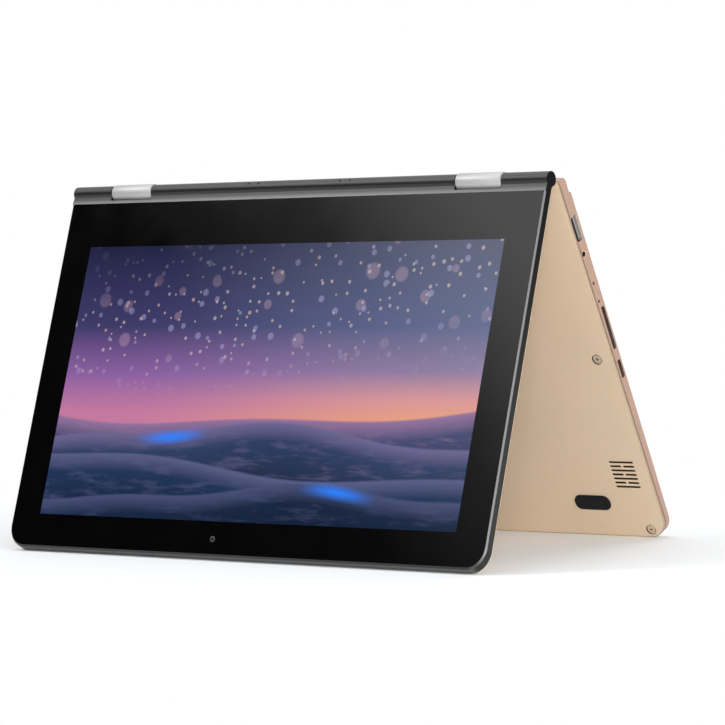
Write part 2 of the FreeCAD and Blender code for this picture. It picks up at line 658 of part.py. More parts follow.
def key_cap(left, right, rear, front):
    """Hollow cap with sloping sides and bevelled corners, its skirt open below."""
    low = value_of(f"{DECK} + key_proud - key_height")
    high = value_of(f"{DECK} + key_proud")
    wall = value_of("key_wall")
    taper = value_of("key_taper")
    corner = value_of("key_corner")

    def ring(spare, level):
        cut = corner
        near_x, far_x = left + spare, right - spare
        near_y, far_y = rear + spare, front - spare
        spots = [(near_x + cut, near_y), (far_x - cut, near_y), (far_x, near_y + cut), (far_x, far_y - cut),
                 (far_x - cut, far_y), (near_x + cut, far_y), (near_x, far_y - cut), (near_x, near_y + cut)]
        return Part.makePolygon([FreeCAD.Vector(x, y, level) for x, y in spots + spots[:1]])

    cap = Part.makeLoft([ring(0, low), ring(taper, high)], True, True)
    inset = wall + taper
    hollow = Part.makeBox(right - left - 2 * inset, front - rear - 2 * inset, high - wall - low,
                          FreeCAD.Vector(left + inset, rear + inset, low))
    return cap.cut(hollow)


def key_boss(left, right, rear, front):
    """Raised seat under a key cap, that the cap's skirt passes as the key goes down."""
    inset = value_of("key_wall + key_taper + key_play")
    height = value_of("key_travel + 2 * inner_gap")
    return Part.makeBox(right - left - 2 * inset, front - rear - 2 * inset, height,
                        FreeCAD.Vector(left + inset, rear + inset, value_of(PLATE_TOP)))


def make_keyboard():
    """Key caps by row, the wide keys by themselves, over one plate with a boss under every key."""
    pitch = value_of("key_pitch")
    gap = value_of("key_gap")
    half_play = value_of("inner_gap") / 2
    caps = {}
    bosses = []
    rear = value_of("keyboard_rear")
    for row_name, depth, keys in key_rows():
        front = rear + value_of(depth) - (0 if depth == "function_depth" else gap)
        place = value_of(KEYS_HALF)
        for key_name, units in keys:
            left = place - units * pitch + gap
            caps.setdefault(key_name or row_name, []).append(key_cap(left, place, rear, front))
            bosses.append(key_boss(left, place, rear, front))
            place -= units * pitch
        rear = front + gap
    for name, solids in caps.items():
        add_group(name, solids, DECK_FRAME)
    side = value_of(f"{KEYS_HALF} + keyboard_margin")
    back = value_of("keyboard_rear - keyboard_margin")
    length = value_of("keys_front + keyboard_margin") - back
    rim = value_of("keyboard_margin")
    top = value_of(PLATE_TOP)
    thickness = value_of("keyboard_plate")
    rim_top = value_of(f"{DECK} - deck_plate") - half_play
    tray = Part.makeBox(2 * (side + rim), length + 2 * rim, rim_top - top + thickness,
                        FreeCAD.Vector(-side - rim, back - rim, top - thickness))
    well = Part.makeBox(2 * side, length, rim_top - top + 1, FreeCAD.Vector(-side, back, top))
    add_group("keyboard_plate", [tray.cut(well).multiFuse(bosses).removeSplitter()], DECK_FRAME)


def make_touchpad():
    """Click pad, flush in the palm rest."""
    body = new_body("touchpad", DECK_FRAME)
    outline = new_sketch(body, lift=f"{DECK} - pad_sink")
    add_rectangle(outline, "-pad_width / 2", "pad_width / 2", "pad_rear", "pad_front",
                  "(pad_corner - pad_gap)", "(pad_corner - pad_gap)")
    pad(body, outline, "pad_thickness", towards_minus=True)
    tray = new_body("touchpad_tray", DECK_FRAME)
    rim = new_sketch(tray, lift=f"{DECK} - deck_plate - inner_gap / 2")
    add_rectangle(rim, "-tray_side", "tray_side", "pad_rear - 2 * deck_plate", "pad_front + 2 * deck_plate")
    depth = "(pad_thickness + pad_sink + pad_travel + keyboard_plate - deck_plate)"
    pad(tray, rim, depth, towards_minus=True)
    well = new_sketch(tray, lift=f"{DECK} - deck_plate")
    inner = "(pad_width / 2 + pad_gap)"
    add_rectangle(well, f"-{inner}", inner, "pad_rear - pad_gap", "pad_front + pad_gap")
    pocket(tray, well, f"{depth} - keyboard_plate + inner_gap / 2")


# Ports and side buttons
def make_socket(label, side, place, width, height, depth, tongue):
    """Metal shell with a flat tongue inside, open outwards."""
    body = new_body(label, DECK_FRAME)
    mouth = "port_inset + shaft_play"
    shell = side_sketch(body, side, mouth)
    add_port_slot(shell, place, "port_level", width, height)
    pad(body, shell, depth, towards_minus=side > 0)
    hollow = side_sketch(body, side, mouth)
    add_port_slot(hollow, place, "port_level", f"{width} - 2 * port_wall", f"{height} - 2 * port_wall")
    pocket(body, hollow, f"{depth} - port_wall", towards_plus=side < 0)
    blade = side_sketch(body, side, f"{mouth} + {depth} - port_wall")
    level = f"(port_level + {height} / 5)"
    add_rectangle(blade, f"{place} - {width} / 2 + 3 * port_wall", f"{place} + {width} / 2 - 3 * port_wall",
                  f"{level} - {tongue} / 2", f"{level} + {tongue} / 2")
    pad(body, blade, f"{depth} - 4 * port_wall", towards_minus=side < 0)


def make_round_socket(label, side, place, radius, ring, pin=None):
    """Square housing with a round socket whose ring fills the wall, and a pin where it takes power."""
    body = new_body(label, DECK_FRAME)
    mouth = "case_wall + inner_gap"
    housing = side_sketch(body, side, mouth)
    add_rectangle(housing, f"{place} - jack_size / 2", f"{place} + jack_size / 2",
                  "port_level - jack_size / 2", "port_level + jack_size / 2")
    pad(body, housing, "jack_depth", towards_minus=side > 0)
    nose = side_sketch(body, side, mouth)
    add_circle(nose, place, "port_level", f"{radius} + {ring} - shaft_play")
    pad(body, nose, f"{mouth} - port_inset", towards_minus=side < 0)
    bore = side_sketch(body, side, "0")
    add_circle(bore, place, "port_level", radius)
    pocket(body, bore, f"{mouth} + jack_depth - port_wall", towards_plus=side < 0)
    if pin:
        post = side_sketch(body, side, f"{mouth} + jack_depth - port_wall / 2")
        add_circle(post, place, "port_level", pin)
        pad(body, post, "jack_depth", towards_minus=side < 0)


def make_button(label, place, length):
    """Side button: bar through the wall with a wider flange inside."""
    body = new_body(label, DECK_FRAME)
    shoulder = "case_wall + button_stroke"
    bar = side_sketch(body, 1, shoulder)
    add_port_slot(bar, place, "button_level", length, "button_height")
    pad(body, bar, f"{shoulder} + button_proud")
    flange = side_sketch(body, 1, shoulder)
    half_length = f"(({length} + button_flange) / 2)"
    half_height = "((button_height + button_flange) / 2)"
    add_rectangle(flange, f"{place} - {half_length}", f"{place} + {half_length}",
                  f"button_level - {half_height}", f"button_level + {half_height}")
    pad(body, flange, "button_flange", towards_minus=True)


def make_button_board():
    """Small upright board with a switch behind each button end, and light pipes to the wall."""
    body = new_body("button_board", DECK_FRAME)
    switch_face = "(case_wall + button_flange + 2 * button_stroke)"
    board = side_sketch(body, 1, f"{switch_face} + switch_height")
    add_rectangle(board, "light_first - 2 * button_height", "power_place + power_length",
                  "port_level - light_radius", "button_level + (button_height + button_flange) / 2")
    pad(body, board, "button_board", towards_minus=True)
    switches = side_sketch(body, 1, f"{switch_face} + switch_height")
    for place in ("rocker_place - rocker_length / 3", "rocker_place + rocker_length / 3", "power_place"):
        add_rectangle(switches, f"{place} - button_height", f"{place} + button_height",
                      "button_level - button_height / 2", "button_level + button_height / 2")
    pad(body, switches, "switch_height")
    lights = new_body("indicator_lights", DECK_FRAME)
    pipes = side_sketch(lights, 1, f"{switch_face} + switch_height")
    add_circle(pipes, "light_first", "port_level", "light_radius")
    add_circle(pipes, "light_second", "port_level", "light_radius")
    pad(lights, pipes, f"{switch_face} + switch_height")


# Inside the base
def plate_between(label, left, right, rear, front, low, thickness, placement):
    """Plain rectangular piece bound to the sheet."""
    box = doc.addObject("Part::Box", label)
    box.Label = label
    box.setExpression("Length", bound(f"{right} - ({left})"))
    box.setExpression("Width", bound(f"{front} - ({rear})"))
    box.setExpression("Height", bound(thickness))
    corner = FreeCAD.Vector(value_of(left), value_of(rear), value_of(low))
    box.Placement = placement.multiply(FreeCAD.Placement(corner, FreeCAD.Rotation()))
    return box


def make_inner_base():
    """Mainboard with processor, heat spreader and wireless card; two battery cells; speakers."""
    body = new_body("mainboard", BOTTOM_FRAME)
    outline = new_sketch(body, lift=f"{FLOOR} + board_standoff")
    add_rectangle(outline, "-board_width / 2", "board_width / 2", "board_rear", "board_front",
                  "corner_radius", "corner_radius")
    pad(body, outline, "board_thickness")
    board_top = f"({FLOOR} + board_standoff + board_thickness)"
    chip_rear = "(board_rear + chip_inset)"
    spreader_rear = f"({chip_rear} - (spreader_length - chip_size) / 2)"
    nodes.append(plate_between("processor", "-chip_size / 2", "chip_size / 2", chip_rear,
                               f"{chip_rear} + chip_size", board_top, "chip_height", BOTTOM_FRAME))
    nodes.append(plate_between("heat_spreader", "-spreader_width / 2", "spreader_width / 2", spreader_rear,
                               f"{spreader_rear} + spreader_length", f"{board_top} + chip_height",
                               "spreader_thickness", BOTTOM_FRAME))
    nodes.append(plate_between("wireless_card", "-board_width / 2 + radio_width / 2",
                               "-board_width / 2 + radio_width * 3 / 2", chip_rear,
                               f"{chip_rear} + radio_length", board_top, "radio_height", BOTTOM_FRAME))
    cells = new_body("battery_cells", BOTTOM_FRAME)
    packs = new_sketch(cells, lift=f"{FLOOR} + inner_gap")
    for left, right in (("cell_inner", "cell_outer"), ("-cell_outer", "-cell_inner")):
        add_rectangle(packs, left, right, "pad_rear", "pad_front", "pad_corner", "pad_corner")
    pad(cells, packs, "cell_height")
    for label, side in (("left_speaker", "1"), ("right_speaker", "-1")):
        speaker = new_body(label, BOTTOM_FRAME)
        box = new_sketch(speaker, lift=f"{FLOOR} + inner_gap")
        middle = f"({side} * grille_side)"
        add_rectangle(box, f"{middle} - speaker_width / 2", f"{middle} + speaker_width / 2",
                      "grille_place - speaker_length / 2", "grille_place + speaker_length / 2",
                      "pad_corner", "pad_corner")
        pad(speaker, box, "speaker_height")


# Hinges
def make_hinge_arm(label, side, placement, leaf_low):
    """Shaft with the leaf that is riveted to it and screwed to base or lid."""
    body = new_body(label, placement)
    shaft = new_sketch(body, "YZ_Plane", lift=f"{side} * {LEAF_IN}")
    add_circle(shaft, "0", "0", "shaft_radius")
    pad(body, shaft, f"{SHAFT_END} - {LEAF_IN}", towards_minus=side < 0)
    leaf = new_sketch(body, lift=leaf_low)
    ends = (LEAF_IN, LEAF_OUT) if side > 0 else (f"-{LEAF_OUT}", f"-{LEAF_IN}")
    add_rectangle(leaf, *ends, "0", "leaf_reach", high_round="(3 * leaf_hole)")
    pad(body, leaf, "leaf_thickness")
    holes = new_sketch(body, lift=leaf_low)
    for quarters in (1, 3):
        across = f"{side} * ({LEAF_IN} + {quarters} * leaf_width / 4)"
        add_circle(holes, across, "leaf_hole_place", "leaf_hole")
    pocket(body, holes, towards_plus=True)


def make_links():
    """Two-shaft links: satin covers over steel plates, with friction washers on the shafts."""
    inner = "(cover_radius - cover_wall)"
    for label, side in (("left_hinge_cover", 1), ("right_hinge_cover", -1)):
        body = new_body(label, LINK_FRAME)
        shell = new_sketch(body, "YZ_Plane", lift=f"{side} * hinge_place - cover_width / 2")
        add_stadium(shell, "cover_radius")
        pad(body, shell, "cover_width")
        hollow = new_sketch(body, "YZ_Plane", lift=f"{side} * (hinge_place - cover_width / 2)")
        add_stadium(hollow, inner)
        pocket(body, hollow, "cover_width - cover_wall", towards_plus=side > 0)
    plates = new_body("hinge_link_plates", LINK_FRAME)
    washers = new_body("hinge_friction_washers", LINK_FRAME)
    for side in (1, -1):
        inboard = "(hinge_place - cover_width / 2)"
        outboard = f"({inboard} + cover_width / 2)"
        for edge in (inboard, outboard):
            lift = f"{edge}" if side > 0 else f"-({edge} + link_plate)"
            plate = new_sketch(plates, "YZ_Plane", lift=lift)
            add_stadium(plate, f"({inner} - shaft_play)")
            add_circle(plate, "0", "0", "shaft_radius + shaft_play")
            add_circle(plate, "0", SPACING, "shaft_radius + shaft_play")
            pad(plates, plate, "link_plate")
        start = f"({inboard} + link_plate)"
        lift = start if side > 0 else f"-({start} + washer_stack)"
        rings = new_sketch(washers, "YZ_Plane", lift=lift)
        for level in ("0", SPACING):
            add_circle(rings, "0", level, f"{inner} - 2 * shaft_play")
            add_circle(rings, "0", level, "shaft_radius + shaft_play")
        pad(washers, rings, "washer_stack")


# Lid
def make_display_frame():
    """Black frame of the lid: sloped rim, round spine, seat for the glass, window for the panel."""
    body = new_body("display_frame", LID_FRAME)
    face = "-screen_depth"
    profile = new_sketch(body, "YZ_Plane")
    add_outline(profile, [("glass_near", face), ("face_far", face), ("lid_far", FRAME_BACK),
                          ("glass_near", FRAME_BACK)])
    pad(body, profile, "body_width", both_ways=True)
    free_edge = value_of("face_far") - 1e-4
    dress(body, "Fillet", edges_where(body, lambda p: near(abs(p.x), HALF) and p.y > free_edge),
          Radius="corner_radius")
    dress(body, "Chamfer", edges_where(body, lambda p: near(p.z, face) and not near(p.y, "glass_near")
                                       or near(p.z, face) and near(abs(p.x), HALF)),
          Size="rim_chamfer")
    spine = new_sketch(body, "YZ_Plane")
    add_circle(spine, "0", "0", "barrel_radius")
    pad(body, spine, "body_width", both_ways=True)
    neck = new_sketch(body, "YZ_Plane")
    add_outline(neck, [("strip_start", f"{face} + strip_drop"), ("glass_near", face),
                       ("glass_near", FRAME_BACK), ("0", FRAME_BACK), ("0", "0")])
    pad(body, neck, "body_width", both_ways=True)
    seat = new_sketch(body, lift=f"{face} - barrel_radius")
    add_glass_outline(seat, "0")
    pocket(body, seat, "barrel_radius + glass_thickness", towards_plus=True)
    window = new_sketch(body, lift=face)
    add_rectangle(window, "-(panel_width / 2 + panel_gap)", "panel_width / 2 + panel_gap",
                  "panel_near - panel_gap", "panel_near + panel_length + panel_gap")
    pocket(body, window, towards_plus=True)
    camera_room = new_sketch(body, lift=face)
    add_camera_outline(camera_room, "inner_gap")
    pocket(body, camera_room, towards_plus=True)
    notches = new_sketch(body, lift=FAR_BEYOND)
    add_notches(notches)
    pocket(body, notches)
    leaf_low = "-(leaf_thickness / 2 + inner_gap)"
    for side in (1, -1):
        bore = new_sketch(body, "YZ_Plane", lift=f"{side} * ({LEAF_IN} - inner_gap)")
        add_circle(bore, "0", "0", "shaft_radius + leaf_gap")
        pocket(body, bore, f"{NOTCH_IN} - {LEAF_IN} + 2 * inner_gap", towards_plus=side > 0)
        ends = [f"{LEAF_IN} - inner_gap", f"{NOTCH_IN} + inner_gap"]
        if side < 0:
            ends = [f"-({NOTCH_IN} + inner_gap)", f"-({LEAF_IN} - inner_gap)"]
        throat = new_sketch(body, lift=leaf_low)
        add_rectangle(throat, *ends, "0", "cover_near + inner_gap")
        pocket(body, throat, "leaf_thickness + 2 * inner_gap", towards_plus=True)
        room = new_sketch(body, lift=leaf_low)
        add_rectangle(room, *ends, "cover_near + inner_gap / 2", "leaf_reach + inner_gap")
        pocket(body, room, towards_plus=True)
    holes = new_sketch(body, lift="-barrel_radius")
    for across in VOICE_PLACES:
        add_circle(holes, across, "-voice_drop", "voice_radius")
    pocket(body, holes, "voice_depth", towards_plus=True)


VOICE_PLACES = [f"{side} * voice_side + {step} * voice_spread / 2" for side in ("1", "-1")
                for step in ("1", "-1")]


def add_glass_outline(sketch, spare):
    """Edge of the cover glass, drawn in by a clearance."""
    side = f"({HALF} - rim_width - {spare})"
    add_rectangle(sketch, f"-{side}", side, f"glass_near + {spare}", f"face_far - rim_width - {spare}",
                  high_round=f"(corner_radius - rim_width - {spare})")


def add_camera_outline(sketch, spare):
    """Edge of the camera module, widened by a clearance."""
    half_width = f"(camera_width / 2 + {spare})"
    half_length = f"(camera_length / 2 + {spare})"
    add_rectangle(sketch, f"-camera_side - {half_width}", f"-camera_side + {half_width}",
                  f"camera_place - {half_length}", f"camera_place + {half_length}")


def make_lid_inside():
    """Cover glass with the panel behind it, the camera and the microphones."""
    glass = new_body("cover_glass", LID_FRAME)
    outline = new_sketch(glass, lift="-screen_depth")
    add_glass_outline(outline, "glass_fit")
    pad(glass, outline, "glass_thickness")
    glass_back = "(glass_thickness - screen_depth)"
    nodes.append(plate_between("display_panel", "-panel_width / 2", "panel_width / 2", "panel_near",
                               "panel_near + panel_length", glass_back, "panel_thickness", LID_FRAME))
    camera = new_body("camera_module", LID_FRAME)
    base = new_sketch(camera, lift=glass_back)
    add_camera_outline(base, "0")
    pad(camera, base, "camera_height")
    voices = new_body("microphones", LID_FRAME)
    capsules = new_sketch(voices, lift="voice_depth - barrel_radius")
    for across in VOICE_PLACES:
        add_circle(capsules, across, "-voice_drop", "voice_radius - shaft_play")
    pad(voices, capsules, "voice_depth / 2", towards_minus=True)


def make_lid_back():
    """Coloured back cover of the lid: a shallow tray with a wide bevel all round."""
    body = new_body("lid_back_cover", LID_FRAME)
    outline = new_sketch(body, lift=FRAME_BACK)
    add_rectangle(outline, f"-{HALF}", HALF, "cover_near", "lid_far", high_round="corner_radius")
    pad(body, outline, f"{BACK} - {FRAME_BACK}")
    outer_edges = edges_where(body, lambda p: near(p.z, BACK) and not near(p.y, "cover_near")
                              or near(p.z, BACK) and near(abs(p.x), HALF))
    bevel = dress(body, "Chamfer", outer_edges, Size="bevel_drop", Size2="bevel_width")
    bevel.ChamferType = "Two distances"
    doc.recompute()
    inside = new_sketch(body, lift=FRAME_BACK)
    add_rectangle(inside, f"cover_rim - {HALF}", f"{HALF} - cover_rim", "cover_near + cover_rim",
                  "lid_far - cover_rim", high_round="(corner_radius - cover_rim)")
    pocket(body, inside, f"{BACK} - {FRAME_BACK} - cover_skin", towards_plus=True)


def build():
    """All pieces, base first."""
    make_top_case()
    make_bottom_cover()
    make_feet()
    make_bottom_screws()
    make_keyboard()
    make_touchpad()
    make_socket("left_usb_socket", 1, *LEFT_SOCKETS[0], "usb_depth", "usb_tongue")
    make_socket("right_usb_socket", -1, *RIGHT_SOCKETS[0], "usb_depth", "usb_tongue")
    make_socket("video_socket", -1, *RIGHT_SOCKETS[1], "slim_depth", "port_wall * 2")
    make_socket("card_socket", -1, *RIGHT_SOCKETS[2], "slim_depth", "port_wall")
    make_round_socket("power_inlet", 1, "power_inlet_place", "inlet_radius", "inlet_ring", "inlet_pin")
    make_round_socket("audio_socket", -1, "audio_place", "audio_radius", "port_wall")
    make_button("volume_rocker", "rocker_place", "rocker_length")
    make_button("power_button", "power_place", "power_length")
    make_button_board()
    make_inner_base()
    for name, side in (("left", 1), ("right", -1)):
        make_hinge_arm(f"{name}_base_hinge_arm", side, DECK_FRAME, "-leaf_thickness / 2 - inner_gap / 2")
        make_hinge_arm(f"{name}_lid_hinge_arm", side, LID_FRAME, "-leaf_thickness / 2")
    make_links()
    make_display_frame()
    make_lid_inside()
    make_lid_back()


def write_parts():
    """Checks every piece, then writes one file for each."""
    doc.recompute()
    for item in doc.Objects:
        if "Invalid" in item.State or "Error" in item.State:
            raise RuntimeError(f"{item.Label} failed: {item.State}")
    for node in nodes:
        if node.Shape.isNull() or not node.Shape.isValid():
            raise RuntimeError(f"{node.Label} has no valid shape")
    os.makedirs("parts", exist_ok=True)
    for node in nodes:
        node.Shape.exportStep(f"parts/{node.Label}.step")


build()
write_parts()
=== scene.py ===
import json
import math

import bmesh
import bpy
from mathutils import Matrix, Vector


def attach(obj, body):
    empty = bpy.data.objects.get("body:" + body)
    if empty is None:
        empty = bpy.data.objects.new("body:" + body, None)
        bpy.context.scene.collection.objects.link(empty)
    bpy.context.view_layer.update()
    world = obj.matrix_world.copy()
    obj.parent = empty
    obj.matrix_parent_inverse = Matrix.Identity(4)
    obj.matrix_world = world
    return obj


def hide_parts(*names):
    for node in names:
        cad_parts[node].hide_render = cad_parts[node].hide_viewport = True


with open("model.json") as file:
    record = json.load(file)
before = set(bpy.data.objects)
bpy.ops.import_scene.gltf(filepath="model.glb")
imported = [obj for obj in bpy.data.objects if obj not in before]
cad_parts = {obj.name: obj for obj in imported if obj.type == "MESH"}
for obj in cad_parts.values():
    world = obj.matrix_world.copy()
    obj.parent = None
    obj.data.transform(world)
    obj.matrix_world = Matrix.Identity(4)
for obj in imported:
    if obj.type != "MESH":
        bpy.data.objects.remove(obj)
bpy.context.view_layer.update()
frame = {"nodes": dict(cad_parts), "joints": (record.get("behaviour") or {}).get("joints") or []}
NODES = frame["nodes"]
JOINTS = {joint["name"]: joint for joint in frame["joints"]}

# Frames of the lid, the deck and the bottom, in millimetres, with X along the hinges
MM = 0.001
BASE_REAR = 8.6
BASE_FRONT = 5.4
BASE_LENGTH = 185.0
BASE_AXIS = Vector(JOINTS["base_hinge"]["pos_m"])
LID_AXIS = Vector(JOINTS["lid_hinge"]["pos_m"])
LINK = LID_AXIS - BASE_AXIS
LID_LEAN = math.atan2(LINK.z, -LINK.y)
REST_ANGLE = math.radians(-JOINTS["base_hinge"]["range_deg"][0])
DECK_LEAN = math.pi - LID_LEAN - REST_ANGLE
WEDGE = math.atan((BASE_REAR - BASE_FRONT) / BASE_LENGTH)
SCREEN_DEPTH = 3.0
CLOSED_GAP = 0.8
DECK = LINK.length / MM - SCREEN_DEPTH - CLOSED_GAP
BOTTOM = DECK - BASE_REAR


def local_frame(axis, turn):
    """Matrix from a local frame in millimetres to the row frame in metres."""
    return Matrix.Translation(axis) @ Matrix.Rotation(turn, 4, "X") @ Matrix.Scale(MM, 4)


LID_FRAME = local_frame(LID_AXIS, -math.pi / 2 - LID_LEAN)
DECK_FRAME = local_frame(BASE_AXIS, DECK_LEAN - math.pi / 2)
BOTTOM_FRAME = local_frame(BASE_AXIS, DECK_LEAN + WEDGE - math.pi / 2)
LINK_FRAME = local_frame(BASE_AXIS, math.atan2(-LINK.y, LINK.z))
ROW_FRAME = Matrix.Scale(MM, 4)
GLASS_NORMAL = (LID_FRAME.to_3x3() @ Vector((0, 0, -1))).normalized()


# Building blocks for node materials: a mix node's colour sockets follow those for numbers and vectors
MIX_FIRST = 6
MIX_SECOND = 7
MIX_RESULT = 2


class Look:
    """A node material with short ways to add and join nodes."""

    def __init__(self, name):
        self.material = bpy.data.materials.new(name)
        self.material.use_nodes = True
        self.tree = self.material.node_tree
        self.shader = self.tree.nodes["Principled BSDF"]

    def feed(self, socket, value):
        """Joins a socket to another one, or gives it a plain value."""
        if isinstance(value, bpy.types.NodeSocket):
            self.tree.links.new(value, socket)
        else:
            socket.default_value = value

    def add(self, kind, **settings):
        """New node of a kind, with its settings."""
        node = self.tree.nodes.new(kind)
        for key, value in settings.items():
            setattr(node, key, value)
        return node

    def set(self, **values):
        """Values or sockets for the shader's inputs, by name with underscores for spaces."""
        for key, value in values.items():
            self.feed(self.shader.inputs[key.replace("_", " ")], value)

    def math(self, operation, *values):
        """Result of a calculation with sockets or numbers."""
        node = self.add("ShaderNodeMath", operation=operation)
        for socket, value in zip(node.inputs, values):
            self.feed(socket, value)
        return node.outputs[0]

    def blend(self, factor, first, second):
        """Mix of two colours: the first at a factor of nought, the second at one."""
        node = self.add("ShaderNodeMix", data_type="RGBA")
        self.feed(node.inputs[0], factor)
        self.feed(node.inputs[MIX_FIRST], first)
        self.feed(node.inputs[MIX_SECOND], second)
        return node.outputs[MIX_RESULT]

    def spread(self, value, low, high, to_low=0.0, to_high=1.0, smooth=False):
        """Value carried from one span to another, and held at its ends."""
        node = self.add("ShaderNodeMapRange", interpolation_type="SMOOTHSTEP" if smooth else "LINEAR")
        for socket, number in zip(node.inputs, (value, low, high, to_low, to_high)):
            self.feed(socket, number)
        return node.outputs[0]

    def ramp(self, factor, stops):
        """Colour ramp from (place, colour) pairs."""
        node = self.add("ShaderNodeValToRGB")
        elements = node.color_ramp.elements
        while len(elements) < len(stops):
            elements.new(0.5)
        for element, (place, colour) in zip(elements, stops):
            element.position = place
            element.color = colour
        self.feed(node.inputs[0], factor)
        return node.outputs[0]

    def local(self, placement):
        """Point of the surface in a local frame's millimetres, whatever the pose."""
        inverse = placement.inverted()
        place = self.add("ShaderNodeMapping")
        place.inputs["Location"].default_value = inverse.to_translation()
        place.inputs["Rotation"].default_value = inverse.to_euler()
        place.inputs["Scale"].default_value = inverse.to_scale()
        self.feed(place.inputs["Vector"], self.add("ShaderNodeTexCoord").outputs["Object"])
        return place.outputs[0]

    def parts(self, vector):
        """The three parts of a vector or a colour, one socket each."""
        node = self.add("ShaderNodeSeparateXYZ")
        self.feed(node.inputs[0], vector)
        return node.outputs

    def facing(self, direction):
        """How far the surface, at rest, faces along a direction of the row frame."""
        node = self.add("ShaderNodeVectorMath", operation="DOT_PRODUCT")
        self.feed(node.inputs[0], self.add("ShaderNodeTexCoord").outputs["Normal"])
        node.inputs[1].default_value = direction
        return node.outputs["Value"]

    def noise(self, vector, scale, detail=2.0, roughness=0.5, stretch=None):
        """Soft random value at a point, drawn out along the directions that stretch makes small."""
        if stretch:
            squeeze = self.add("ShaderNodeMapping")
            squeeze.inputs["Scale"].default_value = stretch
            self.feed(squeeze.inputs["Vector"], vector)
            vector = squeeze.outputs[0]
        node = self.add("ShaderNodeTexNoise")
        self.feed(node.inputs["Vector"], vector)
        node.inputs["Scale"].default_value = scale
        node.inputs["Detail"].default_value = detail
        node.inputs["Roughness"].default_value = roughness
        return node.outputs[0]

    def bump(self, height, depth_mm, strength=1.0):
        """Small relief of a depth in millimetres."""
        node = self.add("ShaderNodeBump")
        node.inputs["Strength"].default_value = strength
        node.inputs["Distance"].default_value = depth_mm * MM
        self.feed(node.inputs["Height"], height)
        self.feed(self.shader.inputs["Normal"], node.outputs[0])
        return self


def linear(red, green, blue):
    """Shader colour of a colour given on the usual 0 to 255 screen scale."""
    def channel(value):
        """One channel with the screen's usual curve undone."""
        share = value / 255
        return share / 12.92 if share <= 0.04045 else ((share + 0.055) / 1.055) ** 2.4

    return (channel(red), channel(green), channel(blue), 1.0)


def grey(level):
    """Neutral shader colour."""
    return (level, level, level, 1.0)


def scaled(colour, factor):
    """Lighter or darker shader colour."""
    return tuple(part * factor for part in colour[:3]) + (1.0,)


# Colours of the finishes, and of the light and shade painted on them
CHAMPAGNE = linear(209, 189, 164)
CHAMPAGNE_EDGE = linear(232, 214, 196)
# Painted shade: a darker tone for the case walls, which the side lamp lights more than the bottom
CHAMPAGNE_WALL_SHADE = linear(167, 137, 121)
# Painted shade: a darker tone for the rounded edges and for the bottom cover's walls
CHAMPAGNE_ROUND_SHADE = linear(164, 142, 120)
# Painted shade: dark brown inside holes, slots and screw recesses
HOLE_SHADE = linear(34, 26, 22)
# Painted shade: a dark line along the parting seam between top case and bottom cover
SEAM_SHADE = linear(56, 38, 28)
BLACK = linear(22, 22, 23)
SATIN = linear(168, 168, 167)
# Painted highlights: the rim slope round the glass, paler along its far edge
RIM_HIGHLIGHT_GREY = linear(86, 86, 88)
FAR_RIM_HIGHLIGHT_GREY = linear(168, 168, 168)
# Painted light: a lighter grey for the lid's far edge face
FAR_EDGE_LIT_GREY = linear(84, 84, 84)
# Painted light: the strip between spine and glass, paler towards the glass
STRIP_LIT_GREY = linear(78, 78, 79)
# Painted shade: a deeper black for the lid's sides
SIDE_SHADE_BLACK = linear(10, 10, 10)
SHELL_METALLIC = 0.25
NOISE_SPAN = (0.3, 0.7)

# Where a finish, a painted light or a painted shade changes, in its local frame's millimetres, and how far
# a 45 degree slope faces ahead
WALL_FROM = (140.5, 183.2)
SEAM_LEVEL = 1.55
DECK_EDGE_FROM = 6.6
# Painted shade: the USB sockets are dark below this level
USB_SHADE_TOP = 1.9
INLET_RING_FROM = 143.4
GLASS_NEAR = 6.2
FAR_RIM_FROM = 179.0
STRIP_START = 3.5
SLOPE_FACING = math.sqrt(0.5)


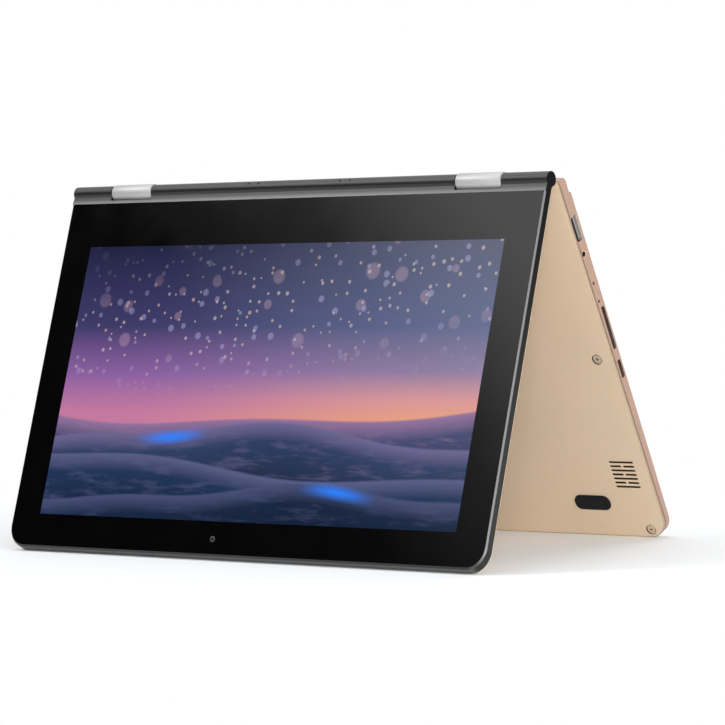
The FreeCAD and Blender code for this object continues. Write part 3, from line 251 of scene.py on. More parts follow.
# Materials
def champagne_look(name, placement, wall_colour=None, edge_from=None):
    """Blasted and anodised shell: fine grain, painted shade on its walls, rounded edges, seam and the
    insides of its holes, and a bright cut edge.
    """
    look = Look(name)
    point = look.local(placement)
    grain = look.noise(point, 5.0, detail=3.0)
    cloud = look.noise(point, 0.03)
    colour = look.blend(cloud, scaled(CHAMPAGNE, 0.97), scaled(CHAMPAGNE, 1.03))
    roughness = look.spread(grain, *NOISE_SPAN, 0.46, 0.56)
    metallic = SHELL_METALLIC
    facing = look.facing((placement.to_3x3() @ Vector((0, 0, 1))).normalized())
    # Painted shade, where a wall colour is given: walls, rounded edges, hole insides and the seam
    if wall_colour:
        flatness = look.math("ABSOLUTE", facing)
        upright = look.spread(flatness, 0.3, 0.6, 1.0, 0.0)
        place = look.parts(point)
        aside = look.math("GREATER_THAN", look.math("ABSOLUTE", place[0]), WALL_FROM[0])
        ahead = look.math("GREATER_THAN", place[1], WALL_FROM[1])
        outside = look.math("MAXIMUM", aside, ahead)
        # Painted shade on the rounded edges outside
        leaning = look.math("MULTIPLY", outside, look.spread(flatness, 0.9, 0.98, 1.0, 0.0))
        colour = look.blend(leaning, colour, CHAMPAGNE_ROUND_SHADE)
        # Painted shade: upright faces take the wall tone outside and dark brown inside holes and slots
        colour = look.blend(upright, colour, look.blend(outside, HOLE_SHADE, wall_colour))
        # Painted shade: a dark line along the parting seam
        level = look.parts(look.local(BOTTOM_FRAME))[2]
        off_seam = look.math("ABSOLUTE", look.math("SUBTRACT", level, BOTTOM + SEAM_LEVEL))
        seam = look.math("MULTIPLY", look.spread(off_seam, 0.34, 0.5, 1.0, 0.0), upright)
        colour = look.blend(seam, colour, SEAM_SHADE)
    if edge_from:
        slope = look.math("ABSOLUTE", look.math("SUBTRACT", facing, SLOPE_FACING))
        cut = look.spread(slope, 0.05, 0.1, 1.0, 0.0)
        along = look.parts(point)[1]
        cut = look.math("MULTIPLY", cut, look.math("GREATER_THAN", along, edge_from))
        colour = look.blend(cut, colour, CHAMPAGNE_EDGE)
        roughness = look.spread(cut, 0.0, 1.0, roughness, 0.22)
        metallic = look.spread(cut, 0.0, 1.0, SHELL_METALLIC, 0.9)
    look.set(Base_Color=colour, Roughness=roughness, Metallic=metallic)
    return look.bump(grain, 0.012, 0.5).material


def lid_frame_look():
    """Black coated lid frame with a satin spine; painted light on the strip between spine and glass and on
    the far edge face, painted highlights on the rim slope, and painted shade on the sides.
    """
    look = Look("lid_frame_finish")
    point = look.local(LID_FRAME)
    grain = look.noise(point, 7.0, detail=2.0)
    colour = look.blend(grain, scaled(BLACK, 0.85), scaled(BLACK, 1.2))
    roughness = look.spread(grain, *NOISE_SPAN, 0.28, 0.36)
    along = look.parts(point)[1]
    facing = look.facing(GLASS_NORMAL)
    # Painted light: the strip between spine and glass grows from black to grey towards the glass
    strip = look.math("MULTIPLY", look.math("LESS_THAN", along, GLASS_NEAR + 0.05),
                      look.spread(along, STRIP_START, GLASS_NEAR, smooth=True))
    strip = look.math("MULTIPLY", strip, look.math("GREATER_THAN", facing, 0.9))
    colour = look.blend(strip, colour, STRIP_LIT_GREY)
    # Painted highlight on the rim slope, paler along the far rim
    slope = look.math("ABSOLUTE", look.math("SUBTRACT", facing, SLOPE_FACING))
    cut = look.spread(slope, 0.03, 0.08, 1.0, 0.0)
    cut = look.math("MULTIPLY", cut, look.math("GREATER_THAN", along, GLASS_NEAR - 0.05))
    far = look.spread(along, FAR_RIM_FROM, FAR_RIM_FROM + 0.6)
    colour = look.blend(cut, colour, look.blend(far, RIM_HIGHLIGHT_GREY, FAR_RIM_HIGHLIGHT_GREY))
    # Painted light: lighter grey on the far edge face
    under = look.facing((LID_FRAME.to_3x3() @ Vector((0, 1, 0))).normalized())
    colour = look.blend(look.spread(under, 0.85, 0.95), colour, FAR_EDGE_LIT_GREY)
    # Painted shade: deeper black on the sides
    side = look.spread(look.math("ABSOLUTE", look.facing((1, 0, 0))), 0.75, 0.9)
    colour = look.blend(side, colour, SIDE_SHADE_BLACK)
    look.set(Base_Color=colour, Roughness=look.spread(cut, 0.0, 1.0, roughness, 0.42))
    return look.bump(grain, 0.01, 0.4).material


def brushed_look(name, placement, colour, along=(0.04, 1.0, 1.0), rough=(0.26, 0.4), metallic=1.0):
    """Metal with fine brush lines along one direction."""
    look = Look(name)
    point = look.local(placement)
    lines = look.noise(point, 9.0, detail=3.0, stretch=along)
    look.set(Base_Color=look.blend(lines, scaled(colour, 0.92), scaled(colour, 1.06)), Metallic=metallic,
             Roughness=look.spread(lines, *NOISE_SPAN, *rough))
    return look.bump(lines, 0.006, 0.4).material


def moulded_look(name, placement, colour, grain_scale=6.0, rough=(0.45, 0.6), depth=0.015, specular=0.5):
    """Moulded plastic or rubber with a spark-eroded grain."""
    look = Look(name)
    point = look.local(placement)
    grain = look.noise(point, grain_scale, detail=3.0)
    look.set(Base_Color=look.blend(grain, scaled(colour, 0.88), scaled(colour, 1.12)),
             Roughness=look.spread(grain, *NOISE_SPAN, *rough), Specular_IOR_Level=specular)
    return look.bump(grain, depth, 0.5).material


def usb_look():
    """Steel shell and grey plastic tongue, with painted shade on everything below a level just above the
    tongue.
    """
    look = Look("usb_socket_finish")
    point = look.local(DECK_FRAME)
    lines = look.noise(point, 6.0, detail=3.0, stretch=(1.0, 0.1, 0.1))
    # Painted shade: dark below the level set just above the tongue, pale grey above it
    upper = look.spread(look.parts(point)[2], USB_SHADE_TOP - 0.1, USB_SHADE_TOP + 0.1)
    dark = look.blend(lines, linear(38, 35, 34), linear(52, 48, 46))
    pale = look.blend(lines, linear(134, 132, 132), linear(152, 150, 150))
    look.set(Base_Color=look.blend(upper, dark, pale), Metallic=0.3,
             Roughness=look.spread(lines, *NOISE_SPAN, 0.35, 0.5))
    return look.bump(lines, 0.006, 0.4).material


def inlet_look():
    """Black housing whose ring in the wall is anodised like the case."""
    look = Look("inlet_finish")
    point = look.local(DECK_FRAME)
    grain = look.noise(point, 6.0, detail=3.0)
    ring = look.math("GREATER_THAN", look.parts(point)[0], INLET_RING_FROM)
    ring = look.math("MULTIPLY", ring, look.math("GREATER_THAN", look.facing((1, 0, 0)), 0.5))
    black = look.blend(grain, linear(26, 24, 23), linear(36, 34, 33))
    # The ring takes the walls' painted-shade tone, a quarter lighter
    look.set(Base_Color=look.blend(ring, black, scaled(CHAMPAGNE_WALL_SHADE, 1.25)),
             Roughness=look.spread(grain, *NOISE_SPAN, 0.4, 0.55))
    return look.bump(grain, 0.01, 0.4).material


def board_look(name, placement, colour):
    """Circuit board with a faint pattern of tracks under the solder mask."""
    look = Look(name)
    point = look.local(placement)
    tracks = look.add("ShaderNodeTexBrick", offset=0.5, squash=1.0)
    look.feed(tracks.inputs["Vector"], point)
    for key, value in (("Scale", 0.2), ("Mortar Size", 0.03), ("Brick Width", 1.4), ("Row Height", 0.35)):
        tracks.inputs[key].default_value = value
    tracks.inputs["Color1"].default_value = colour
    tracks.inputs["Color2"].default_value = scaled(colour, 0.8)
    tracks.inputs["Mortar"].default_value = scaled(colour, 1.9)
    roughness = look.spread(look.noise(point, 2.0), *NOISE_SPAN, 0.3, 0.45)
    look.set(Base_Color=tracks.outputs[0], Roughness=roughness)
    return look.material


# Picture on the display: a made-up dusk of rippled dunes with soft lantern discs drifting over them
ACTIVE_WIDTH = 253.7
ACTIVE_LENGTH = 135.3
ACTIVE_NEAR = 28.7
RIPPLE_SHARE = 0.5
GLOW_BLUE = linear(40, 130, 255)

# Lantern discs: cells in a millimetre, largest radius in cells, brightness and tint
LANTERNS = [
    (0.055, 0.25, 0.16, linear(236, 196, 214)),
    (0.11, 0.23, 0.24, linear(206, 200, 244)),
    (0.19, 0.22, 0.34, linear(250, 222, 206)),
]

# Dunes from the horizon forward: level, swing, waves, phase, crest colour, foot colour and depth
DUNES = [
    (0.60, 0.05, 3.1, 0.4, linear(150, 116, 158), linear(66, 72, 112), 0.22),
    (0.70, 0.045, 4.3, 2.6, linear(112, 104, 146), linear(46, 62, 98), 0.2),
    (0.80, 0.04, 3.6, 4.9, linear(92, 96, 136), linear(32, 52, 86), 0.2),
    (0.90, 0.035, 5.2, 1.3, linear(74, 82, 120), linear(22, 38, 66), 0.2),
]

# Where a blue glow lies across a dune's crest, by the dune's number
GLOWS = {1: 0.3, 3: 0.72}


def picture_sky(look, across, down):
    """Deep blue above, violet lower, rose on one side and amber on the other at the horizon."""
    left = look.ramp(down, [(0.0, linear(30, 32, 66)),
                            (0.3, linear(62, 58, 104)),
                            (0.48, linear(138, 96, 160)),
                            (0.62, linear(196, 120, 160))])
    right = look.ramp(down, [(0.0, linear(72, 78, 106)),
                             (0.3, linear(88, 98, 136)),
                             (0.46, linear(140, 122, 158)),
                             (0.56, linear(216, 150, 150)),
                             (0.68, linear(240, 164, 96))])
    return look.blend(look.spread(across, 0.1, 0.95, smooth=True), left, right)


def picture_lanterns(look, point, sky, across, down):
    """Soft see-through discs along a slanting drift, fainter away from it and towards the horizon."""
    drift = look.math("MULTIPLY_ADD", across, -0.34, 0.42)
    off_drift = look.math("ABSOLUTE", look.math("SUBTRACT", down, drift))
    share = look.spread(off_drift, 0.05, 0.34, 1.0, 0.12, smooth=True)
    share = look.math("MULTIPLY", share, look.spread(down, 0.4, 0.58, 1.0, 0.0))
    for scale, size, bright, tint in LANTERNS:
        cells = look.add("ShaderNodeTexVoronoi", feature="F1", voronoi_dimensions="2D")
        look.feed(cells.inputs["Vector"], point)
        cells.inputs["Scale"].default_value = scale
        chance = look.parts(cells.outputs["Color"])[0]
        radius = look.spread(chance, 0.55, 1.0, 0.1, size)
        core = look.math("MULTIPLY", radius, 0.75)
        disc = look.spread(cells.outputs["Distance"], core, radius, bright, 0.0)
        shown = look.math("MULTIPLY", disc, look.math("GREATER_THAN", chance, 0.6))
        sky = look.blend(look.math("MULTIPLY", shown, share), sky, tint)
    return sky


def dune(look, across, down, under, level, swing, waves, phase, crest, foot, depth):
    """One wave of the ground over what lies behind it, pale along its crest."""
    long_wave = look.math("SINE", look.math("MULTIPLY_ADD", across, waves, phase))
    short_wave = look.math("SINE", look.math("MULTIPLY_ADD", across, waves * 2.7, phase * 1.7))
    line = look.math("MULTIPLY_ADD", long_wave, swing, level)
    line = look.math("MULTIPLY_ADD", short_wave, swing * 0.35, line)
    below = look.math("SUBTRACT", down, line)
    cover = look.spread(below, 0.0, 0.008)
    stops = [(0.0, crest), (0.35, foot), (1.0, scaled(foot, 0.55))]
    tone = look.ramp(look.spread(below, 0.0, depth), stops)
    return look.blend(cover, under, tone), below


def glass_look():
    """Bonded cover glass: lit picture in the middle, black print round it, polished front."""
    look = Look("display_glass")
    point = look.local(LID_FRAME)
    place = look.parts(point)
    across = look.spread(place[0], -ACTIVE_WIDTH / 2, ACTIVE_WIDTH / 2)
    down = look.spread(place[1], ACTIVE_NEAR, ACTIVE_NEAR + ACTIVE_LENGTH)
    colour = picture_lanterns(look, point, picture_sky(look, across, down), across, down)
    wind = look.noise(point, 0.16, detail=5.0, roughness=0.6, stretch=(0.3, 1.6, 1.0))
    ripples = look.spread(wind, 0.5, 0.72, 0.0, RIPPLE_SHARE)
    for number, (level, swing, waves, phase, crest, foot, depth) in enumerate(DUNES):
        colour, below = dune(look, across, down, colour, level, swing, waves, phase, crest, foot, depth)
        ridge = look.math("MULTIPLY", ripples, look.spread(below, 0.01, 0.03))
        colour = look.blend(ridge, colour, crest)
        if number in GLOWS:
            reach = look.math("ABSOLUTE", look.math("SUBTRACT", across, GLOWS[number]))
            near = look.spread(reach, 0.0, 0.1, 1.0, 0.0, smooth=True)
            off_crest = look.math("ABSOLUTE", look.math("SUBTRACT", below, 0.02))
            band = look.spread(off_crest, 0.0, 0.03, 1.0, 0.0)
            colour = look.blend(look.math("MULTIPLY", near, band), colour, GLOW_BLUE)
    inside_x = look.math("LESS_THAN", look.math("ABSOLUTE", place[0]), ACTIVE_WIDTH / 2)
    from_middle = look.math("ABSOLUTE", look.math("SUBTRACT", place[1], ACTIVE_NEAR + ACTIVE_LENGTH / 2))
    inside = look.math("MULTIPLY", inside_x, look.math("LESS_THAN", from_middle, ACTIVE_LENGTH / 2))
    front = look.math("GREATER_THAN", look.facing(GLASS_NORMAL), 0.9)
    lit = look.math("MULTIPLY", inside, front)
    smear = look.noise(point, 0.05, detail=3.0)
    print_colour = look.blend(smear, linear(3, 3, 4), linear(6, 6, 7))
    look.set(Base_Color=print_colour, Roughness=look.spread(smear, *NOISE_SPAN, 0.05, 0.1), IOR=1.5,
             Emission_Color=look.blend(lit, grey(0.0), colour), Emission_Strength=1.0)
    return look.material


# Pieces made in mesh code, drawn in a local frame's millimetres
def make_piece(name, mesh_data, placement, body, material):
    """Mesh piece from corners and faces, set in the row frame and carried by a body."""
    corners, faces = mesh_data
    mesh = bpy.data.meshes.new(name)
    mesh.from_pydata([placement @ Vector(corner) for corner in corners], [], faces)
    mesh.validate()
    tidy = bmesh.new()
    tidy.from_mesh(mesh)
    bmesh.ops.recalc_face_normals(tidy, faces=tidy.faces)
    tidy.to_mesh(mesh)
    tidy.free()
    mesh.materials.append(material)
    piece = bpy.data.objects.new(name, mesh)
    bpy.context.scene.collection.objects.link(piece)
    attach(piece, body)
    return piece


def soften(piece, angle=40.0):
    """Smooth shading except over sharp edges."""
    piece.data.polygons.foreach_set("use_smooth", [True] * len(piece.data.polygons))
    piece.data.set_sharp_from_angle(angle=math.radians(angle))


def joined(parts):
    """One mesh from several."""
    corners, faces = [], []
    for more_corners, more_faces in parts:
        shift = len(corners)
        corners += more_corners
        faces += [tuple(index + shift for index in face) for face in more_faces]
    return corners, faces


def stacked(rings, close_first=False, close_last=False):
    """Skin over rings of equally many corners."""
    count = len(rings[0])
    corners = [corner for ring in rings for corner in ring]
    faces = []
    for level in range(len(rings) - 1):
        for index in range(count):
            after = (index + 1) % count
            low, high = level * count, (level + 1) * count
            faces.append((low + index, low + after, high + after, high + index))
    if close_first:
        faces.append(tuple(reversed(range(count))))
    if close_last:
        faces.append(tuple(range((len(rings) - 1) * count, len(rings) * count)))
    return corners, faces


def closed(rings):
    """Skin over rings, closed at both ends."""
    return stacked(rings, close_first=True, close_last=True)


def round_ring(across, along, radius, level, count=32):
    """Circle at one level."""
    return [(across + radius * math.cos(turn), along + radius * math.sin(turn), level)
            for turn in (2 * math.pi * index / count for index in range(count))]


def box_ring(left, right, rear, front, corner, level, steps=4):
    """Rectangle with rounded corners at one level."""
    ring = []
    centres = [(right - corner, front - corner), (left + corner, front - corner),
               (left + corner, rear + corner), (right - corner, rear + corner)]
    for quarter, (centre_x, centre_y) in enumerate(centres):
        for step in range(steps + 1):
            turn = math.pi / 2 * (quarter + step / steps)
            ring.append((centre_x + corner * math.cos(turn), centre_y + corner * math.sin(turn), level))
    return ring


# Key caps and their characters
KEY_PITCH = 18.0
ROW_PITCH = 17.4
KEY_GAP = 2.6
FUNCTION_DEPTH = 8.4
KEYBOARD_UNITS = 14.5
KEYBOARD_REAR = 13.5
KEY_HEIGHT = 2.2
KEY_PROUD = 0.2
KEY_TAPER = 0.7
KEY_EDGE = 0.25
KEY_DISH = 0.12
DISH_FROM = 1.2
DISH_TO = 3.0
LEGEND_LIFT = 0.03
LEGEND_SIZE = 4.6
LEGEND_INSET = 1.9
SMALL_LEGEND = 3.0
CAPITAL_HEIGHT = 0.75
DOT_SIDES = 16
ARROWS = {"left": math.pi, "right": 0.0, "up": math.pi / 2, "down": -math.pi / 2}
FUNCTION_KEYS = ["esc_dot"] + [f"F{number}" for number in range(1, 13)] + ["right"]


def plain_keys(legends):
    """Keys one unit wide that have no node of their own."""
    return [(None, 1.0, legend) for legend in legends]


# Rows from the hinge forward, and their keys from the user's left: own node, width in units, legend
KEY_ROWS = [
    ("key_row_function", [(None, KEYBOARD_UNITS / len(FUNCTION_KEYS), legend) for legend in FUNCTION_KEYS]),
    ("key_row_numbers", plain_keys("`1234567890-=") + [("backspace_key", 1.5, "left")]),
    ("key_row_upper", [("tab_key", 1.5, "right")] + plain_keys("QWERTYUIOP[]\\")),
    ("key_row_home", [("caps_lock_key", 1.75, "up")] + plain_keys("ASDFGHJKL;'")
     + [("enter_key", 1.75, "left")]),
    ("key_row_lower", [("left_shift_key", 2.25, "up")] + plain_keys("ZXCVBNM,./")
     + [(None, 1.0, "up"), (None, 1.25, "up")]),
    ("key_row_bottom", plain_keys([None] * 4) + [("space_bar", 5.5, None)]
     + plain_keys([None, None, "left", "down", "right"])),
]


def key_cap(left, right, rear, front):
    """Cap with sloping sides, a soft upper edge and a slightly dished top."""
    top = DECK + KEY_PROUD
    base = top - KEY_HEIGHT
    # Inset, level and corner radius, from the foot to the dished middle
    levels = [(0.0, base, 1.1),
              (KEY_TAPER - KEY_EDGE, top - KEY_EDGE, 1.3),
              (KEY_TAPER - KEY_EDGE * 0.3, top - KEY_EDGE * 0.3, 1.4),
              (KEY_TAPER, top, 1.5),
              (KEY_TAPER + DISH_FROM, top - KEY_DISH * 0.5, 1.5),
              (KEY_TAPER + DISH_TO, top - KEY_DISH, 0.4)]
    rings = [box_ring(left + inset, right - inset, rear + inset, front - inset, corner, level)
             for inset, level, corner in levels]
    return stacked(rings, close_last=True)


GLYPHS = {}


def glyph(character):
    """Flat outline of one character, about as high as its size of one, from Blender's own font."""
    if character not in GLYPHS:
        curve = bpy.data.curves.new("glyph", "FONT")
        curve.body = character
        curve.resolution_u = 3
        holder = bpy.data.objects.new("glyph", curve)
        bpy.context.scene.collection.objects.link(holder)
        bpy.context.view_layer.update()
        mesh = bpy.data.meshes.new_from_object(holder)
        GLYPHS[character] = ([tuple(vertex.co) for vertex in mesh.vertices],
                             [tuple(face.vertices) for face in mesh.polygons])
        bpy.data.objects.remove(holder)
        bpy.data.curves.remove(curve)
        bpy.data.meshes.remove(mesh)
    return GLYPHS[character]


def arrow(turn):
    """Flat arrow one unit long, centred, pointing to the right before it is turned."""
    outline = [(-0.5, -0.07), (0.1, -0.07), (0.1, -0.28), (0.5, 0.0),
               (0.1, 0.28), (0.1, 0.07), (-0.5, 0.07)]
    turned = [(x * math.cos(turn) - y * math.sin(turn), x * math.sin(turn) + y * math.cos(turn), 0.0)
              for x, y in outline]
    return turned, [(0, 1, 5, 6), (1, 2, 3), (1, 3, 5), (3, 4, 5)]


def legend_on(right, rear, legend):
    """Character or arrow near the upper left of a key, as its user sees it."""
    size = SMALL_LEGEND if len(legend) > 1 and legend[0] == "F" else LEGEND_SIZE
    level = DECK + KEY_PROUD - KEY_DISH * 0.5 + LEGEND_LIFT
    corner_x = right - KEY_TAPER - LEGEND_INSET
    corner_y = rear + KEY_TAPER + LEGEND_INSET
    if legend in ARROWS:
        corners, faces = arrow(ARROWS[legend])
        corners = [(x + 0.5, y + 0.3, 0.0) for x, y, z in corners]
    elif legend == "esc_dot":
        corners, faces = round_ring(0.3, 0.3, 0.22, 0.0, DOT_SIDES), [tuple(range(DOT_SIDES))]
    else:
        corners, faces = glyph(legend)
    height = size * CAPITAL_HEIGHT
    return [(corner_x - x * size, corner_y + height - y * size, level) for x, y, z in corners], faces


def make_keys():
    """Every key's cap, and the characters that are printed on the caps."""
    plastic = moulded_look("key_plastic", DECK_FRAME, linear(34, 34, 36), 7.0, (0.4, 0.52))
    ink = moulded_look("key_print", DECK_FRAME, linear(196, 196, 198), 3.0, (0.5, 0.6), 0.004)
    caps = {}
    prints = {}
    rear = KEYBOARD_REAR
    for row, keys in KEY_ROWS:
        front = rear + (FUNCTION_DEPTH if row == "key_row_function" else ROW_PITCH - KEY_GAP)
        place = KEYBOARD_UNITS * KEY_PITCH / 2 - KEY_GAP / 2
        for own_node, units, legend in keys:
            left = place - units * KEY_PITCH + KEY_GAP
            node = own_node or row
            caps.setdefault(node, []).append(key_cap(left, place, rear, front))
            if legend:
                prints.setdefault(node, []).append(legend_on(place, rear, legend))
            place -= units * KEY_PITCH
        rear = front + KEY_GAP
    for node, parts in caps.items():
        piece = make_piece(f"{node}_caps", joined(parts), DECK_FRAME, node, plastic)
        soften(piece, 35.0)
        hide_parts(node)
    for node, parts in prints.items():
        make_piece(f"{node}_print", joined(parts), DECK_FRAME, node, ink)


# Bottom screws: the recess's mouth and floor are each its reach and half its width
SCREW_PLACES = [(60.4, 9.6), (-60.4, 9.6), (136.4, 88.5), (-136.4, 88.5),
                (136.4, 180.6), (0.0, 180.6), (-136.4, 180.6)]
SCREW_RADIUS = 2.3
SCREW_FACE = 0.2
SCREW_THICKNESS = 0.5
SCREW_SIDES = 24
RECESS_MOUTH = (1.05, 0.2)
RECESS_FLOOR = (0.75, 0.13)
RECESS_DEPTH = 0.45
RECESS_CORNERS = 12


def cross_ring(across, along, reach, width, level):
    """Outline of the cross recess in a screw head."""
    quarter = [(reach, -width), (reach, width), (width, width)]
    ring = []
    for turn in range(4):
        for x, y in quarter:
            for _ in range(turn):
                x, y = -y, x
            ring.append((across + x, along + y, level))
    return ring


def screw_head(across, along):
    """Head with a rounded rim and a tapered cross recess."""
    face = BOTTOM + SCREW_FACE
    rim = [(SCREW_RADIUS, face + SCREW_THICKNESS),
           (SCREW_RADIUS, face + 0.25),
           (SCREW_RADIUS - 0.1, face + 0.08),
           (SCREW_RADIUS - 0.3, face)]
    rim_rings = [round_ring(across, along, radius, level, SCREW_SIDES) for radius, level in rim]
    mouth = cross_ring(across, along, *RECESS_MOUTH, face)
    bed = cross_ring(across, along, *RECESS_FLOOR, face + RECESS_DEPTH)
    flat = []
    for index in range(SCREW_SIDES):
        after = (index + 1) % SCREW_SIDES
        flat.append((index, after, SCREW_SIDES + (index // 2) % RECESS_CORNERS))
    for index in range(RECESS_CORNERS):
        after = (index + 1) % RECESS_CORNERS
        flat.append((SCREW_SIDES + index, (2 * index + 2) % SCREW_SIDES, SCREW_SIDES + after))
    outer = stacked(rim_rings, close_first=True)
    recess = stacked([mouth, bed], close_last=True)
    return joined([outer, recess, (rim_rings[-1] + mouth, flat)])


def screw_look():
    """Anodised head, with painted shade down its recess and its rim."""
    look = Look("screw_finish")
    point = look.local(BOTTOM_FRAME)
    grain = look.noise(point, 5.0, detail=3.0)
    face = BOTTOM + SCREW_FACE
    # Painted shade on everything deeper than the head's face
    deep = look.spread(look.parts(point)[2], face + 0.03, face + 0.12)
    colour = look.blend(grain, scaled(CHAMPAGNE, 0.85), scaled(CHAMPAGNE, 0.95))
    look.set(Base_Color=look.blend(deep, colour, HOLE_SHADE), Metallic=0.4,
             Roughness=look.spread(grain, *NOISE_SPAN, 0.3, 0.45))
    return look.bump(grain, 0.008, 0.4).material


def make_screws():
    """Heads of the screws that hold the bottom."""
    heads = joined([screw_head(*place) for place in SCREW_PLACES])
    screws = make_piece("bottom_screw_heads", heads, BOTTOM_FRAME, "base", screw_look())
    soften(screws)
    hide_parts("bottom_screws")


# Hinge covers, feet, side buttons, touchpad and camera with softened edges
HINGE_PLACE = 106.4
COVER_WIDTH = 25.4
COVER_RADIUS = 4.0
COVER_WALL = 0.7
COVER_ROUND = 0.35
COVER_SOFT = 0.1
AXIS_SPACING = LINK.length / MM
FOOT_PLACES = [(across, along) for across in (-107.9, 107.9) for along in (24.0, 166.5)]
FOOT_LENGTH = 20.0
FOOT_WIDTH = 7.6
FOOT_CORNER = 3.4
FOOT_HEIGHT = 1.0
FOOT_SINK = 0.4
FOOT_STEPS = [(0.0, -FOOT_SINK), (0.0, 0.45), (0.12, 0.8), (0.4, 0.96), (0.8, FOOT_HEIGHT)]
WALL = 145.0
BUTTONS = [("volume_rocker", 74.1, 21.8), ("power_button", 95.5, 8.9)]
BUTTON_LEVEL = 2.3
BUTTON_HEIGHT = 2.0
BUTTON_FLANGE = 1.0
BUTTON_PROUD = 0.3
BUTTON_SHOULDER = 1.9
PAD_HALF = 52.0
PAD_REAR = 119.4
PAD_FRONT = 174.4
PAD_CORNER = 2.1
PAD_SINK = 0.2
PAD_THICKNESS = 1.4
PAD_CHAMFER = 0.35
CAMERA_PLACE = (-13.7, 172.5)
RING_STEPS = [(1.5, 0.0), (1.4, 0.05), (0.8, 0.05), (0.65, 0.01)]
LENS_STEPS = [(0.65, 0.01), (0.4, 0.03), (0.2, 0.04)]


def stadium_ring(across, radius, steps=20):
    """Outline round both hinge axes at one place across."""
    ring = []
    for level, first in ((AXIS_SPACING, 0.0), (0.0, math.pi)):
        for step in range(steps + 1):
            turn = first + math.pi * step / steps
            ring.append((across, radius * math.cos(turn), level + radius * math.sin(turn)))
    return ring


def make_hinge_covers():
    """Satin sleeves round both axes, closed at their outer ends."""
    satin = brushed_look("hinge_cover_finish", LINK_FRAME, SATIN, rough=(0.42, 0.52), metallic=0.35)
    inner = COVER_RADIUS - COVER_WALL
    profile = [(0.0, COVER_RADIUS - COVER_ROUND),
               (COVER_SOFT, COVER_RADIUS - COVER_SOFT),
               (COVER_ROUND, COVER_RADIUS),
               (COVER_WIDTH - COVER_ROUND, COVER_RADIUS),
               (COVER_WIDTH - COVER_SOFT, COVER_RADIUS - COVER_SOFT),
               (COVER_WIDTH, COVER_RADIUS - COVER_ROUND),
               (COVER_WIDTH, inner),
               (COVER_WALL, inner)]
    end = HINGE_PLACE + COVER_WIDTH / 2
    for name, side in (("left", 1), ("right", -1)):
        rings = [stadium_ring(side * (end - depth), radius) for depth, radius in profile]
        sleeve = closed(rings)
        cover = make_piece(f"{name}_hinge_sleeve", sleeve, LINK_FRAME, "hinge_links", satin)
        soften(cover)
        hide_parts(f"{name}_hinge_cover")


def foot(across, along):
    """Rubber foot with a rounded tread edge, from steps of inset and drop below the bottom."""
    rings = []
    for inset, drop in FOOT_STEPS:
        rings.append(box_ring(across - FOOT_LENGTH / 2 + inset, across + FOOT_LENGTH / 2 - inset,
                              along - FOOT_WIDTH / 2 + inset, along + FOOT_WIDTH / 2 - inset,
                              FOOT_CORNER - inset, BOTTOM - drop, steps=8))
    return closed(rings)


def make_feet():
    """The rubber feet, in one piece."""
    rubber = moulded_look("foot_rubber", BOTTOM_FRAME, linear(14, 17, 21), 4.0, (0.6, 0.8), specular=0.2)
    pads = joined([foot(*place) for place in FOOT_PLACES])
    feet = make_piece("rubber_foot_pads", pads, BOTTOM_FRAME, "base", rubber)
    soften(feet)
    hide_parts("rubber_feet")


def make_side_buttons():
    """Buttons with rounded ends and edges, and the flange that holds them behind the wall."""
    finish = moulded_look("button_finish", DECK_FRAME, linear(44, 30, 25), 5.0, (0.35, 0.45), specular=0.25)
    shoulder = WALL - BUTTON_SHOULDER
    outer = WALL + BUTTON_PROUD
    low = BUTTON_LEVEL - BUTTON_HEIGHT / 2
    high = BUTTON_LEVEL + BUTTON_HEIGHT / 2
    # Place across, growth of the outline and corner radius, from the flange to the outer face
    steps = [(shoulder - BUTTON_FLANGE, BUTTON_FLANGE / 2, 0.1),
             (shoulder, BUTTON_FLANGE / 2, 0.1),
             (shoulder, 0.0, 0.95),
             (outer - 0.25, 0.0, 0.95),
             (outer - 0.08, -0.1, 0.85),
             (outer, -0.3, 0.65)]
    for node, place, length in BUTTONS:
        rings = []
        for across, grow, corner in steps:
            ring = box_ring(place - length / 2 - grow, place + length / 2 + grow, low - grow, high + grow,
                            corner, across, steps=6)
            rings.append([(level, along, up) for along, up, level in ring])
        button = make_piece(f"{node}_cap", closed(rings), DECK_FRAME, node, finish)
        soften(button)
        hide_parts(node)


def make_touchpad():
    """Plate with a bright cut edge all round."""
    top = DECK - PAD_SINK
    rings = []
    for inset, level in ((0.0, top - PAD_THICKNESS), (0.0, top - PAD_CHAMFER), (PAD_CHAMFER, top)):
        rings.append(box_ring(inset - PAD_HALF, PAD_HALF - inset, PAD_REAR + inset, PAD_FRONT - inset,
                              PAD_CORNER - inset, level, steps=8))
    finish = champagne_look("touchpad_finish", DECK_FRAME, edge_from=DECK_EDGE_FROM)
    plate = make_piece("touchpad_plate", closed(rings), DECK_FRAME, "touchpad", finish)
    soften(plate, 30.0)
    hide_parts("touchpad")


def camera_skin(steps, close_last=False):
    """Skin round the camera's axis, from steps of radius and height above the glass."""
    rings = [round_ring(*CAMERA_PLACE, radius, -SCREEN_DEPTH - proud) for radius, proud in steps]
    return stacked(rings, close_last=close_last)


def make_camera_lens():
    """Ring and lens of the camera behind the lower border of the glass, standing a hair proud of it."""
    black = moulded_look("camera_ring_finish", LID_FRAME, linear(36, 36, 38), 5.0, (0.5, 0.6))
    ring = make_piece("camera_ring", camera_skin(RING_STEPS), LID_FRAME, "lid", black)
    soften(ring)
    coating = moulded_look("lens_coating", LID_FRAME, linear(14, 12, 24), 2.0, (0.04, 0.08), 0.002)
    dome = camera_skin(LENS_STEPS, close_last=True)
    lens = make_piece("camera_lens", dome, LID_FRAME, "lid", coating)
    soften(lens)


def paint(material, *names):
    """Gives CAD nodes a material."""
    for name in names:
        slots = NODES[name].data.materials
        slots.clear()
        slots.append(material)


